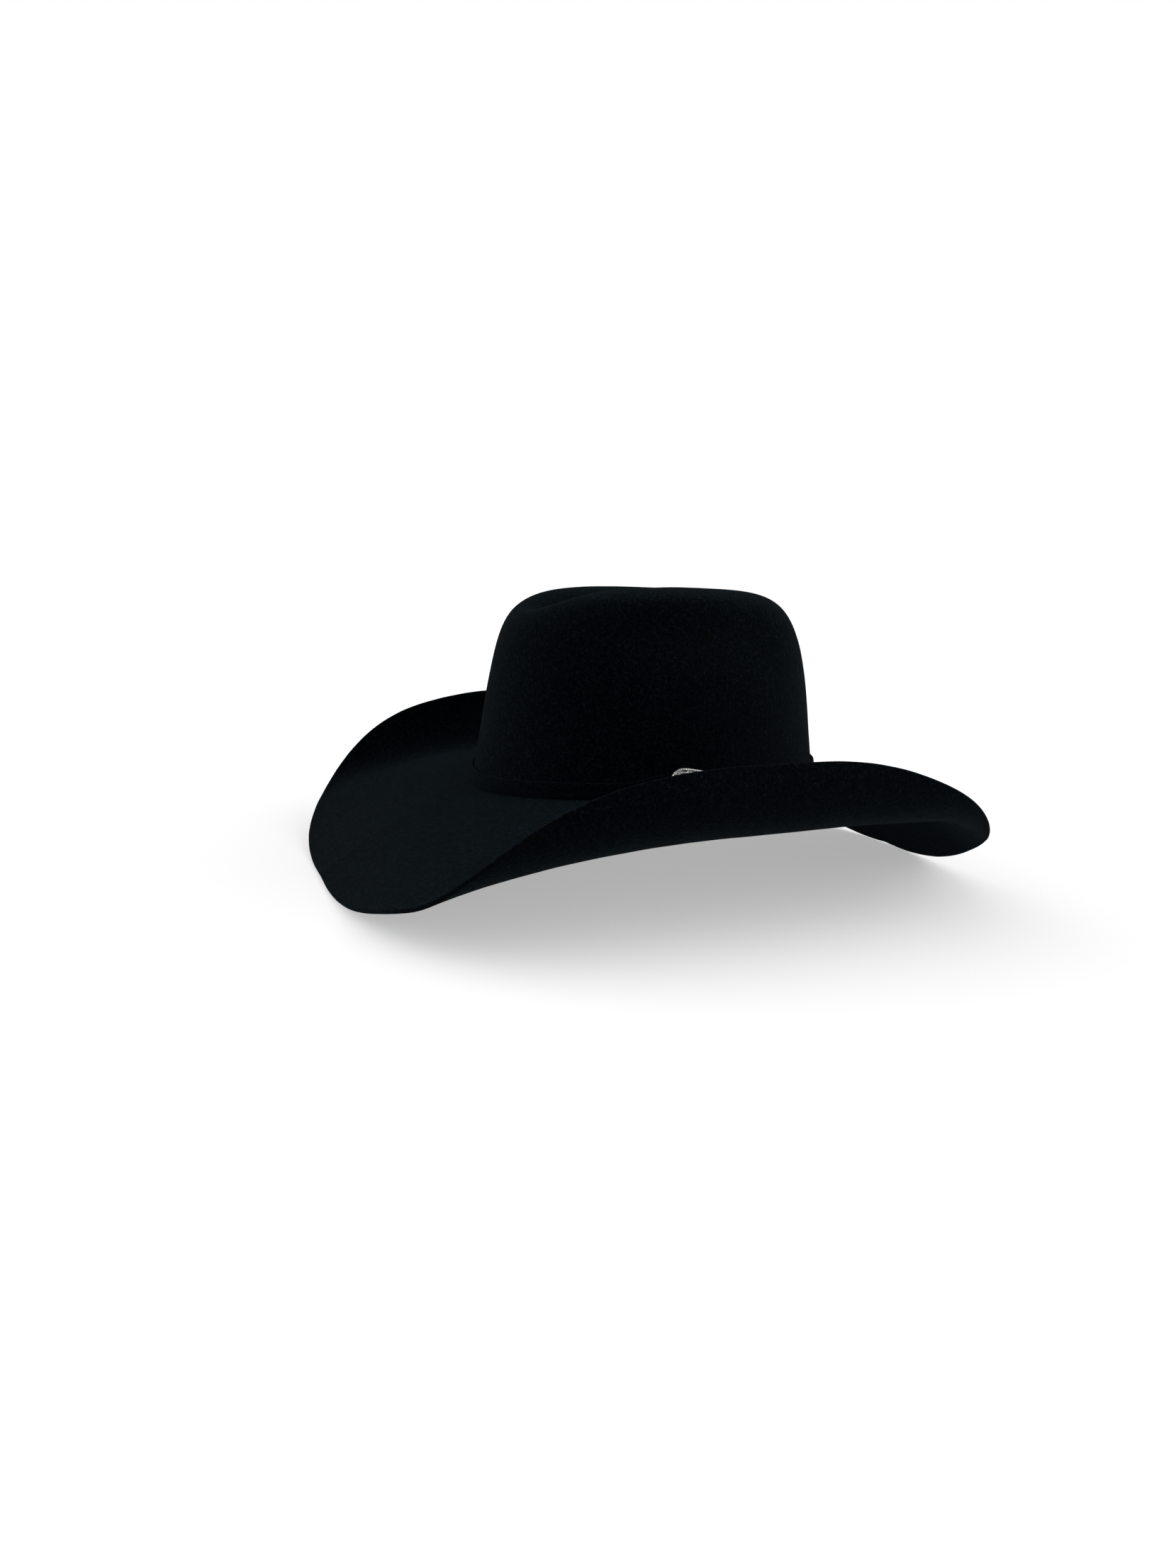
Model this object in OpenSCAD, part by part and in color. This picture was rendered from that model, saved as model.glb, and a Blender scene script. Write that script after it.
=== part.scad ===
// Western felt hat: crown and brim in one felt, band with a three-piece buckle set, sweatband and lining.
// The hat stands on the front and back dips of its brim at z = 0.
// The front faces -Y, the wearer's left is +X.
// Points of the felt are worked out in the crown's own frame, whose origin is the middle of the crown's base.
// A turn is the angle round the crown from +X towards +Y.
// A height on the wall is counted from the brim break.

/* [Crown] */
// Half width of the crown at its base
crown_half_w = 88; // [84:0.5:92]
// Half length of the crown at its base
crown_half_l = 104.5; // [100:0.5:110]
// Height of the crown above the brim break
crown_h = 107.5; // [100:0.5:120]
// Squareness of the crown's shoulder at the front
shoulder_front = 7.9; // [4:0.1:8.5]
// Squareness of the crown's shoulder at the back
shoulder_back = 5.2; // [4:0.1:7]
// Squareness of the crown's shoulders at the sides
shoulder_side = 6.1; // [4:0.1:7]
// Inward lean of the front wall, as a share of the half length
lean_front = 0.17; // [0.05:0.01:0.2]
// Inward lean of the back wall, as a share of the half length
lean_back = 0.14; // [0.05:0.01:0.2]
// Inward lean of the side walls, as a share of the half width
lean_side = 0.16; // [0.05:0.01:0.22]
// Depth of the centre crease
crease_depth = 18; // [8:0.5:20]
// Width scale of the centre crease
crease_w = 20.5; // [18:0.5:28]
// Distance from the middle to the front end of the crease
crease_front = 73; // [60:1:80]
// Distance from the middle to the back end of the crease
crease_back = 72; // [60:1:80]
// Depth of the two side dents
dent_depth = 8; // [3:0.5:11]
// Height of the side dents above the brim break
dent_h = 84; // [76:1:88]
// Thickness of the felt
felt_t = 2.2; // [1.8:0.1:2.6]

/* [Brim] */
// Width of the brim at the front
brim_front = 87; // [80:0.5:96]
// Width of the brim at the back
brim_back = 90.5; // [80:0.5:100]
// Flat width of the brim at the sides
brim_side = 95.5; // [88:0.5:100]
// Squareness of the brim's outline at the front, 2 for an ellipse
outline_front = 3.09; // [2:0.01:3.2]
// Squareness of the brim's outline at the back, 2 for an ellipse
outline_back = 2.2; // [2:0.1:3]
// Distance from the middle at which the sides start to curl up
curl_start = 127; // [118:1:132]
// Angle that the curl reaches at the side edge
curl_angle = 123; // [90:1:125]
// Downward slope of the brim before the curl
side_slope = 7.4; // [4:0.2:9]
// Depth of the dip at the front
front_dip = 48; // [30:1:52]
// Rise of the two front corners of the brim
corner_rise = 42.5; // [0:0.5:48]
// Depth of the dip at the back
back_dip = 63; // [50:1:66]

/* [Band and buckle] */
// Height of the felt band
band_h = 8.5; // [7:0.5:9]
// Thickness of the felt band
band_t = 1.6; // [1.4:0.1:1.7]
// Turn at which the buckle bar stands, on the wearer's left
buckle_turn = -6; // [-10:0.5:0]
// Length of the tail beyond the bar
tail_l = 52; // [50:1:56]

/* [Inside] */
// Height of the leather sweatband
sweat_h = 58; // [50:1:62]
// Thickness of the leather sweatband
sweat_t = 1.1; // [0.9:0.1:1.2]
// Thickness of the satin lining
lining_t = 0.7; // [0.6:0.1:0.8]

/* [Hidden] */

// Facets
around = 60;
crown_rings = 18;
brim_rings = 9;
curl_steps = 12;

// Brim and crown
reach_front = crown_half_l + brim_front;
reach_back = crown_half_l + brim_back;
reach_side = crown_half_w + brim_side;
outline_tip = 2.8;
front_flat = 8.6;
back_flat = 85;
front_dip_power = 3.26;
back_dip_power = 2.6;
curl_power = 1.17;
curl_softness = 0.12;
curl_gain_front = 0.557;
curl_gain_back = -0.41;
start_gain_front = -0.049;
start_gain_tip = -0.077;
start_gain_back = -0.03;
rise_front = -0.085;
rise_back = 0.035;
crease_ease_front = 14;
crease_ease_back = 18;
dent_mid_y = -5;
dent_half_l = 50;
dent_half_h = 18;
black_felt = [0.05, 0.055, 0.06];

// Layers on the outside of the wall, counted outwards from it
band_gap = 0.25;
band_foot = 0.5;
band_lift = 3.9;
lift_from = -44;
lift_full = -18;
lift_fall = 38;
wall_r = crown_half_l * crown_half_l / crown_half_w;
arc_per_turn = 1.82;

// Buckle set: sizes in its own frame, where x is outwards, y is along the band towards the back and z is up
bar_r = 0.8;
bar_out = 1.9;
bar_fit = 0.06;
frame_t = 2;
frame_mid = 8.3;
toe_y = -19.2;
toe_half_h = 8;
toe_l = 7;
heel_half_h = 6;
heel_end = 1.6;
toe_rim = 3.9;
window_half_h = 4.75;
chape_t = 0.8;
chape_l = 9.5;
chape_half_h = 3.8;
tongue_w = 2;
slot_from = -9.8;
slot_to = 2.2;
strap_rise_from = -15;
strap_rise_to = -2.4;
strap_top = 3.85;
under_start = 4.8;
under_high = 1.1;
under_fall_from = 22;
under_fall_to = 33;
layer_step = 2.3;
keeper_mid = 18.6;
keeper_half = 2.4;
tip_mid = tail_l - 5;

// Layers on the inside of the wall, counted inwards from the outer face
lining_in = felt_t + 0.6;
sweat_in = lining_in + lining_t + 0.4;
reed_r = 0.8;
reed_in = sweat_in + 1.6;
reed_h = 1.2;
tape_t = 0.35;
lining_seam = 0.512;
seam_gap = 0.012;
tip_in = lining_in + 0.6;
cord_r = 0.9;
cord_in = lining_in + 1.2 + cord_r;
shield_rim = 0.8;
label_in = sweat_in + sweat_t + 0.75;
bow_in = sweat_in + sweat_t + 1.2;

// ---- Felt surfaces ----

function tanh(x) = (exp(2 * x) - 1) / (exp(2 * x) + 1);
function unit(v) = v / norm(v);
function total(list) = list * [for (item = list) 1];
function ease(x, from, to) = let(k = min(1, max(0, (x - from) / (to - from)))) k * k * (3 - 2 * k);
function superellipse(c, s, n, m) = pow(pow(abs(c), n) + pow(abs(s), m), -2 / (n + m));
function outline(front, side) = front ? (side ? outline_front : outline_tip) : outline_back;

// Drop of the brim and of the crown's base at a distance y from the middle
function droop(y) =
    let(
        reach = y < 0 ? reach_front : reach_back,
        flat = y < 0 ? front_flat : back_flat,
        share = max(0, (abs(y) - flat) / (reach - flat))
    )
    y < 0 ? -front_dip * pow(share, front_dip_power) : -back_dip * pow(share, back_dip_power);

// Top of the brim: out runs from 0 at the crown to 1 at the edge
function brim_point(turn, out) =
    let(
        c = cos(turn),
        s = sin(turn),
        front = s < 0,
        reach = front ? reach_front : reach_back,
        k = superellipse(c, s, outline(front, true), outline(front, false)),
        flat_x = c * (crown_half_w + (reach_side * k - crown_half_w) * out),
        y = s * (crown_half_l + (reach * k - crown_half_l) * out),
        share = pow(y / reach, 2),
        curl = curl_angle * (1 + (front ? curl_gain_front : curl_gain_back) * share),
        gain = front ? start_gain_front + start_gain_tip * share : start_gain_back,
        start = curl_start * (1 + gain * share),
        room = reach_side - start,
        beyond = (abs(flat_x) - start) / room,
        far = (beyond + norm([beyond, curl_softness])) / 2,
        bend = [
            for (i = [0:curl_steps - 1]) curl * pow(far * (i + 0.5) / curl_steps, curl_power) - side_slope
        ],
        run = total([for (a = bend) cos(a)]) / curl_steps * far * room,
        climb = total([for (a = bend) sin(a)]) / curl_steps * far * room,
        inner = abs(flat_x) - far * room,
        x = sign(c) * (inner + run),
        corner = front ? corner_rise * pow(share * x / reach_side, 2) : 0
    )
    [x, y, climb - tan(side_slope) * max(0, inner - crown_half_w * abs(c)) + corner + droop(y)];

// Outside of the crown: up runs from 0 at the base to 1 at the middle of the top
function crown_point(turn, up) =
    let(
        c = cos(turn),
        s = sin(turn),
        shoulder = (s < 0 ? shoulder_front : shoulder_back) * s * s + shoulder_side * c * c,
        k = superellipse(cos(90 * up), sin(90 * up), shoulder, shoulder),
        rise = sin(90 * up) * k,
        lean = (s < 0 ? lean_front : lean_back) * s * s + lean_side * c * c,
        spread = cos(90 * up) * k * (1 - lean * rise),
        x = crown_half_w * c * spread,
        y = crown_half_l * s * spread,
        share = pow(y / crown_half_l, 2),
        crease_in = tanh((y + crease_front) / crease_ease_front),
        crease_on = (crease_in - tanh((y - crease_back) / crease_ease_back)) / 2,
        crease = crease_depth * exp(-pow(x / crease_w, 2)) * crease_on * pow(rise, 6),
        dent_up = (rise * crown_h - dent_h) / dent_half_h,
        dent_on = exp(-pow((y - dent_mid_y) / dent_half_l, 4) - dent_up * dent_up),
        dent = dent_depth * dent_on * min(1, abs(x) / 40)
    )
    [
        x - sign(c) * dent,
        y,
        rise * crown_h * (1 + (y < 0 ? rise_front : rise_back) * share) - crease
            + droop(crown_half_l * s) * pow(max(0, 1 - rise), 1.5)
    ];

function brim_normal(turn, out) =
    let(a = max(0, out - 0.02), b = min(1, out + 0.02))
    unit(cross(brim_point(turn, b) - brim_point(turn, a),
               brim_point(turn + 1, out) - brim_point(turn - 1, out)));

function crown_normal(turn, up) =
    let(a = max(0, up - 0.02), b = min(0.99, up + 0.02))
    up > 0.98
        ? [0, 0, 1]
        : unit(cross(crown_point(turn + 1, up) - crown_point(turn - 1, up),
                     crown_point(turn, b) - crown_point(turn, a)));

function under_crown(turn, up, depth) = crown_point(turn, up) - depth * crown_normal(turn, up);
function under_brim(turn, out) = brim_point(turn, out) - felt_t * brim_normal(turn, out);
function under_break(turn) = crown_point(turn, 0) - felt_t * (crown_normal(turn, 0) + brim_normal(turn, 0));

// ---- Places on the wall, near its base, where it is straight ----

function wall_turn(turn) = atan2(crown_half_w * sin(turn), crown_half_l * cos(turn));
function wall_out(turn) = [cos(wall_turn(turn)), sin(wall_turn(turn)), 0];
function wall_lean(turn) =
    let(s = sin(turn), c = cos(turn), lean = (s < 0 ? lean_front : lean_back) * s * s + lean_side * c * c)
    atan(lean * norm([crown_half_w * c, crown_half_l * s]) / crown_h);

// A point at a height on the wall, moved outwards from it
function wall_point(turn, height, out) =
    let(
        c = cos(turn),
        s = sin(turn),
        foot = droop(crown_half_l * s),
        rise = height / (crown_h - 1.5 * foot),
        lean = (s < 0 ? lean_front : lean_back) * s * s + lean_side * c * c,
        spread = 1 - lean * rise
    )
    [crown_half_w * c * spread, crown_half_l * s * spread, foot + height] + out * wall_out(turn);

// How far up the crown, from 0 to 1, a height on the wall is
function up_at(height) = atan(height / crown_h) / 90;

// Distance along the band from the bar, negative towards the front
function along_at(turn) =
    let(t = (turn - buckle_turn + 720) % 360)
    arc_per_turn * (t > 300 ? t - 360 : t);
function turn_at(along) = buckle_turn + along / arc_per_turn;

// The band rides higher where it passes through the buckle set
function lift_at(turn) =
    let(y = along_at(turn))
    band_lift * ease(y, lift_from, lift_full) * (1 - ease(y, tail_l + 2, tail_l + 2 + lift_fall));

// ---- Solids from rings of points ----

// Faces between successive rows of count points, clockwise from outside
function row_faces(rows, count, closed_rows, closed_count) = [
    for (i = [0:rows - (closed_rows ? 1 : 2)], j = [0:count - (closed_count ? 1 : 2)])
        let(
            a = i * count + j,
            b = i * count + (j + 1) % count,
            c = (i + 1) % rows * count + (j + 1) % count,
            d = (i + 1) % rows * count + j
        )
        each [[a, b, c], [a, c, d]]
];

// A solid whose section, listed from the outside top downwards and back up, runs all the way round
module round_solid(rows) {
    count = len(rows[0]);
    polyhedron([for (row = rows) each row], row_faces(len(rows), count, true, true));
}

// A solid closed by a single point at each end
module capped_solid(first, rows, last) {
    count = len(rows[0]);
    size = len(rows) * count;
    polyhedron(
        concat([for (row = rows) each row], [first, last]),
        concat(
            row_faces(len(rows), count, false, true),
            [for (j = [0:count - 1]) [size, (j + 1) % count, j]],
            [for (j = [0:count - 1]) [size + 1, size - count + j, size - count + (j + 1) % count]]
        )
    );
}

// A strip whose section is listed at each station along it
module strip_solid(stations) {
    corners = len(stations[0]);
    end = (len(stations) - 1) * corners;
    polyhedron(
        [for (station = stations) each station],
        concat(
            [
                for (i = [0:len(stations) - 2], k = [0:corners - 1])
                    let(a = i * corners + k, b = i * corners + (k + 1) % corners)
                    each [[a, a + corners, b + corners], [a, b + corners, b]]
            ],
            [
                for (k = [0:corners / 2 - 2])
                    let(c = corners - 2 - k)
                    each [[k, k + 1, c], [k, c, c + 1]]
            ],
            [
                for (k = [0:corners / 2 - 2])
                    let(c = end + corners - 2 - k)
                    each [[end + k, c, end + k + 1], [end + k, c + 1, c]]
            ]
        )
    );
}

function turns(count) = [for (i = [0:count - 1]) i * 360 / count];

// ---- Placing ----

edge = [for (turn = turns(around)) under_brim(turn, 1)];
front_low = min([for (p = edge) if (p[1] < 0) p[2]]);
back_low = min([for (p = edge) if (p[1] > 0) p[2]]);
front_low_y = min([for (p = edge) if (p[1] < 0 && p[2] == front_low) p[1]]);
back_low_y = max([for (p = edge) if (p[1] > 0 && p[2] == back_low) p[1]]);

// Lean of the crown when the hat stands on both dips
stand_lean = atan((front_low - back_low) / (back_low_y - front_low_y));
floor_z = min([for (p = edge) p[1] * sin(stand_lean) + p[2] * cos(stand_lean)]);
edge_y = [
    for (turn = turns(around)) let(p = brim_point(turn, 1)) p[1] * cos(stand_lean) - p[2] * sin(stand_lean)
];

// Stands the hat on its two dips, with the middle of its length over the origin
module stand() {
    translate([0, -(min(edge_y) + max(edge_y)) / 2, -floor_z]) rotate([stand_lean, 0, 0]) children();
}

// Local frame on the wall: x outwards, y along the band towards the back, z up the wall
module on_wall(turn, height) {
    translate(wall_point(turn, height, 0)) rotate([0, -wall_lean(turn), wall_turn(turn)]) children();
}

module at_bar() {
    stand() on_wall(buckle_turn, 0) children();
}

// ---- Felt ----

module felt_body() {
    list = turns(around);
    color(black_felt) stand() capped_solid(
        crown_point(0, 1),
        concat(
            [for (i = [crown_rings - 1:-1:0]) [for (turn = list) crown_point(turn, i / crown_rings)]],
            [for (i = [1:brim_rings]) [for (turn = list) brim_point(turn, i / brim_rings)]],
            [for (i = [brim_rings:-1:1]) [for (turn = list) under_brim(turn, i / brim_rings)]],
            [[for (turn = list) under_break(turn)]],
            [for (i = [1:crown_rings - 1]) [for (turn = list) under_crown(turn, i / crown_rings, felt_t)]]
        ),
        under_crown(0, 1, felt_t)
    );
}

// ---- Band ----

// How far the wall falls away from the flat plane of the buckle
function sag(along) = pow(along, 2) / (2 * wall_r);

// Distance of the band's inner face from the wall, for its lower and its upper layer
function under_layer(along) =
    let(high = under_high + sag(min(along, chape_l + 1)))
    high - (high - band_gap) * ease(along, under_fall_from, under_fall_to);
function over_layer(along) =
    let(
        high = strap_top + sag(max(0, min(along, chape_l + 1))),
        step_on = ease(along, chape_l + 1, chape_l + 5)
    )
    along < 0
        ? band_gap + (strap_top - band_gap) * ease(along, strap_rise_from, strap_rise_to)
        : high + (under_layer(along) + layer_step - high) * step_on;

function band_station(turn, out) =
    let(low = band_foot + lift_at(turn), high = low + band_h)
    [
        wall_point(turn, high, out + band_t),
        wall_point(turn, low, out + band_t),
        wall_point(turn, low, out),
        wall_point(turn, high, out)
    ];

module hat_band() {
    plain_from = 34;
    plain_to = 360 * arc_per_turn - 20;
    step = 2;
    stations = concat(
        [for (y = [under_start:step:plain_from]) band_station(turn_at(y), under_layer(y))],
        [for (i = [1:52]) band_station(turn_at(plain_from + i * (plain_to - plain_from) / 53), band_gap)],
        [for (y = [-20:step:tail_l]) band_station(turn_at(y), over_layer(y))]
    );
    color(black_felt) difference() {
        stand() strip_solid(stations);
        at_bar() translate([bar_out, slot_from, frame_mid - tongue_w / 2 - 0.5])
            cube([8, slot_to - slot_from, tongue_w + 1]);
    }
}

module band_tacks() {
    color([0.03, 0.03, 0.03]) stand() for (turn = [40:40:320])
        on_wall(turn, band_foot + lift_at(turn) + band_h - 0.6)
            translate([band_gap + band_t + 0.05, -1.2, 0]) cube([0.3, 2.4, 0.4]);
}

// ---- Buckle set ----

// Felt tab folded round the bar, in two ears beside the tongue's root
module buckle_chape() {
    ear_r = bar_r + bar_fit + chape_t;
    color(black_felt) at_bar() translate([bar_out, 0, frame_mid]) difference() {
        union() {
            translate([0, 0, -chape_half_h]) cylinder(r = ear_r, h = 2 * chape_half_h, $fn = 48);
            for (x = [-ear_r, ear_r - chape_t])
                translate([x, 0, -chape_half_h]) cube([chape_t, chape_l, 2 * chape_half_h]);
        }
        translate([0, 0, -chape_half_h - 1])
            cylinder(r = bar_r + bar_fit, h = 2 * chape_half_h + 2, $fn = 48);
        translate([-bar_r - bar_fit, 0, -chape_half_h - 1])
            cube([2 * (bar_r + bar_fit), chape_l + 1, 2 * chape_half_h + 2]);
        translate([-4, -4, -tongue_w / 2 - 0.4]) cube([8, 7, tongue_w + 0.8]);
    }
}

module chape_stitches() {
    color([0.03, 0.03, 0.03]) at_bar() for (z = [-2.7, -0.9, 0.9, 2.7])
        translate([bar_out + bar_r + bar_fit + chape_t, chape_l - 2, frame_mid + z - 0.2])
            cube([0.15, 1.4, 0.4]);
}

// Outline of the frame, symmetric about its middle: y along the band, z across it
function frame_outline() = concat(
    [for (i = [0:6]) let(a = i * 15) [toe_y + toe_l * (1 - cos(a)), toe_half_h * sin(a)]],
    [[-5, heel_half_h + 0.9], [heel_end, heel_half_h]]
);

module frame_plate(points) {
    mirrored = [for (i = [len(points) - 1:-1:1]) [points[i][0], -points[i][1]]];
    rotate([90, 0, 90]) linear_extrude(frame_t) polygon(concat(points, mirrored));
}

module buckle_frame() {
    color([0.75, 0.75, 0.77]) at_bar() translate([bar_out - frame_t / 2, 0, frame_mid]) difference() {
        frame_plate(frame_outline());
        translate([-1, toe_y + toe_rim, -window_half_h]) cube([frame_t + 2, 40, 2 * window_half_h]);
    }
}

module buckle_bar() {
    color([0.6, 0.6, 0.62]) at_bar() translate([bar_out, 0, frame_mid - window_half_h])
        cylinder(r = bar_r, h = 2 * window_half_h, $fn = 48);
}

// Ring round the bar and a shank that climbs through the strap and rests on the toe
module buckle_tongue() {
    ring_r = bar_r + 0.95;
    top = frame_t / 2 + 0.12;
    shank = [
        [-1, -0.6], [-6, 1], [-10.4, 1.7], [-15.4, top], [-18.2, top],
        [-18.2, top + 1.1], [-15.6, top + 1.3], [-10.2, 3], [-5.6, 2.4], [-0.8, 1.2]
    ];
    color([0.78, 0.78, 0.8]) at_bar() translate([bar_out, 0, frame_mid]) difference() {
        union() {
            translate([0, 0, -tongue_w / 2]) cylinder(r = ring_r, h = tongue_w, $fn = 48);
            translate([0, 0, -tongue_w / 2]) linear_extrude(tongue_w)
                polygon([for (p = shank) [p[1], p[0]]]);
        }
        translate([0, 0, -tongue_w]) cylinder(r = bar_r + bar_fit, h = 2 * tongue_w, $fn = 48);
    }
}

// Local frame on the wall at a distance along the band, its z = 0 in the middle of the band where that lies
// a given distance outwards
module on_strap(along, out) {
    turn = turn_at(along);
    stand() on_wall(turn, band_foot + lift_at(turn) + band_h / 2)
        translate([0, 0, -out * sin(wall_lean(turn))]) children();
}

module keeper_loop() {
    half_h = band_h / 2 + 0.5;
    wall = 0.8;
    back = 0.25;
    front = over_layer(keeper_mid) + band_t + 0.4;
    color([0.75, 0.75, 0.77]) on_strap(keeper_mid, (front - back) / 2) difference() {
        translate([back, -keeper_half, -half_h - wall])
            cube([front - back + wall, 2 * keeper_half, 2 * (half_h + wall)]);
        translate([back + 0.6, -keeper_half - 1, -half_h])
            cube([front - back - 0.6, 2 * keeper_half + 2, 2 * half_h]);
    }
}

// Local frame on the tail, in the middle of its tip
module at_tip() {
    on_strap(tip_mid, over_layer(tip_mid) + band_t / 2) translate([over_layer(tip_mid), 0, 0]) children();
}

// Cap over the end of the tail, with a rounded point
module band_tip() {
    half_h = band_h / 2 + 0.9;
    fit = 0.3;
    skin = 0.4;
    outline = [
        [-3, -half_h], [5.4, -half_h], [8.2, -half_h * 0.62], [9.3, 0],
        [8.2, half_h * 0.62], [5.4, half_h], [-3, half_h]
    ];
    color([0.75, 0.75, 0.77]) at_tip() difference() {
        translate([-fit - skin, 0, 0]) rotate([90, 0, 90])
            linear_extrude(band_t + 2 * (fit + skin)) polygon(outline);
        translate([-fit, -4, -band_h / 2 - fit]) cube([band_t + 2 * fit, 9.4, band_h + 2 * fit]);
    }
}

module tip_rivets() {
    color([0.8, 0.8, 0.82]) at_tip() for (z = [-2.6, 2.6])
        translate([band_t + 0.7, -1.4, z]) rotate([0, 90, 0]) cylinder(r = 0.7, h = 0.4, $fn = 24);
}

// ---- Sweatband ----

// Leather strip with its two ends a little apart at the back
module sweatband() {
    gap = 0.6;
    foot = 3;
    low = up_at(foot);
    high = up_at(sweat_h);
    between = [for (i = [1:crown_rings]) if (i / crown_rings < high - seam_gap) i / crown_rings];
    ups = concat([low], between, [high]);
    last = len(ups) - 1;
    color([0.16, 0.1, 0.06]) stand() strip_solid([
        for (i = [0:around])
            let(turn = 90 + gap + i * (360 - 2 * gap) / around)
            concat(
                [for (k = [last:-1:0]) under_crown(turn, ups[k], sweat_in)],
                [for (k = [0:last]) under_crown(turn, ups[k], sweat_in + sweat_t)]
            )
    ]);
}

// A rod of round section along the wall
function rod_rows(height, depth, r, sides) = [
    for (k = [0:sides - 1])
        let(a = 90 - k * 360 / sides)
        [for (turn = turns(around)) wall_point(turn, height + r * sin(a), -depth + r * cos(a))]
];

module sweatband_reed() {
    color([0.85, 0.85, 0.8]) stand() round_solid(rod_rows(reed_h, reed_in, reed_r, 8));
}

// Tape folded under the reed, its wings beside it
module reed_tape() {
    outer = reed_in - reed_r - 0.15;
    inner = reed_in + reed_r + 0.15;
    high = reed_h + 1.1;
    low = reed_h - reed_r - 0.15;
    profile = [
        [outer - tape_t, high], [outer - tape_t, low], [reed_in, low - tape_t], [inner + tape_t, low],
        [inner + tape_t, high + 1.6], [inner, high + 1.6], [inner, low + 0.1], [reed_in, low],
        [outer, low + 0.1],
        [outer, high]
    ];
    color([0.05, 0.05, 0.05]) stand() round_solid([
        for (p = profile) [for (turn = turns(around)) wall_point(turn, p[1], -p[0])]
    ]);
}

module sweatband_stitches() {
    count = 72;
    color([0.45, 0.4, 0.3]) stand() for (turn = turns(count))
        on_wall(turn, 5.4) translate([-sweat_in - sweat_t - 0.5, -1.5, 0]) cube([0.25, 3, 0.4]);
}

// Flat bow of two loops, a knot and two tails
module sweatband_bow() {
    color([0.05, 0.05, 0.05]) stand() on_wall(90, 16) translate([-bow_in - 1.4, 0, 0])
        rotate([90, 0, 90]) linear_extrude(1.4) union() {
            for (side = [-1, 1]) {
                polygon([
                    [side * -1, 1.4], [side * 9, 4.6], [side * 12, 2], [side * 11, -2], [side * -1, -1.4]
                ]);
                polygon([[side * -1, 1], [side * 1.5, 1], [side * 8, -9], [side * 4, -10]]);
            }
            square([3.6, 4.6], center = true);
        }
}

// ---- Lining ----

module lining_side() {
    list = turns(around);
    top = lining_seam - seam_gap;
    ups = concat([for (i = [1:crown_rings]) if (i / crown_rings < top - seam_gap) i / crown_rings], [top]);
    last = len(ups) - 1;
    color([0.12, 0.12, 0.14]) stand() round_solid(concat(
        [for (i = [last:-1:0]) [for (turn = list) under_crown(turn, ups[i], lining_in)]],
        [for (i = [0:last]) [for (turn = list) under_crown(turn, ups[i], lining_in + lining_t)]]
    ));
}

// A dished panel under the top of the crown, from its rim to the middle
module under_top(rim, depth, thickness, count) {
    inner = [for (i = [1:crown_rings - 1]) if (i / crown_rings > rim + seam_gap) i / crown_rings];
    ups = concat([rim], inner);
    last = len(ups) - 1;
    stand() capped_solid(
        under_crown(0, 1, depth),
        concat(
            [for (i = [last:-1:0]) [for (turn = turns(count)) under_crown(turn, ups[i], depth)]],
            [for (i = [0:last]) [for (turn = turns(count)) under_crown(turn, ups[i], depth + thickness)]]
        ),
        under_crown(0, 1, depth + thickness)
    );
}

module lining_tip() {
    color([0.14, 0.14, 0.16]) under_top(lining_seam + seam_gap, tip_in, lining_t, around);
}

module lining_cord() {
    sides = 6;
    color([0.1, 0.1, 0.12]) stand() round_solid([
        for (k = [0:sides - 1])
            let(a = 90 - k * 360 / sides)
            [
                for (turn = turns(around))
                    under_crown(turn, lining_seam, cord_in - cord_r * cos(a)) + [0, 0, cord_r * sin(a)]
            ]
    ]);
}

module lining_shield() {
    color([0.8, 0.85, 0.9, 0.4]) under_top(shield_rim, tip_in + lining_t + 0.3, 0.4, 36);
}

module size_label() {
    color([0.85, 0.84, 0.8]) stand() on_wall(108, 24) translate([-label_in - 0.3, -8, 0]) cube([0.3, 16, 11]);
}

felt_body();
hat_band();
band_tacks();
buckle_chape();
chape_stitches();
buckle_frame();
buckle_bar();
buckle_tongue();
keeper_loop();
band_tip();
tip_rivets();
sweatband();
sweatband_reed();
reed_tape();
sweatband_stitches();
sweatband_bow();
lining_side();
lining_tip();
lining_cord();
lining_shield();
size_label();
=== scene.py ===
"""Looks of a black felt western hat with a three-piece buckle set on its band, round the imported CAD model.

Shapes are worked out in the crown's own frame in millimetres, by the rules of part.scad: the origin is the middle of
the crown's base, the front faces -Y, the wearer's left is +X and a turn is the angle from +X towards +Y in degrees.
stand() then sets the points down on the floor, in metres.
"""
import math

import bmesh
import bpy
import numpy as np
from mathutils import Matrix, Vector, noise


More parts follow.
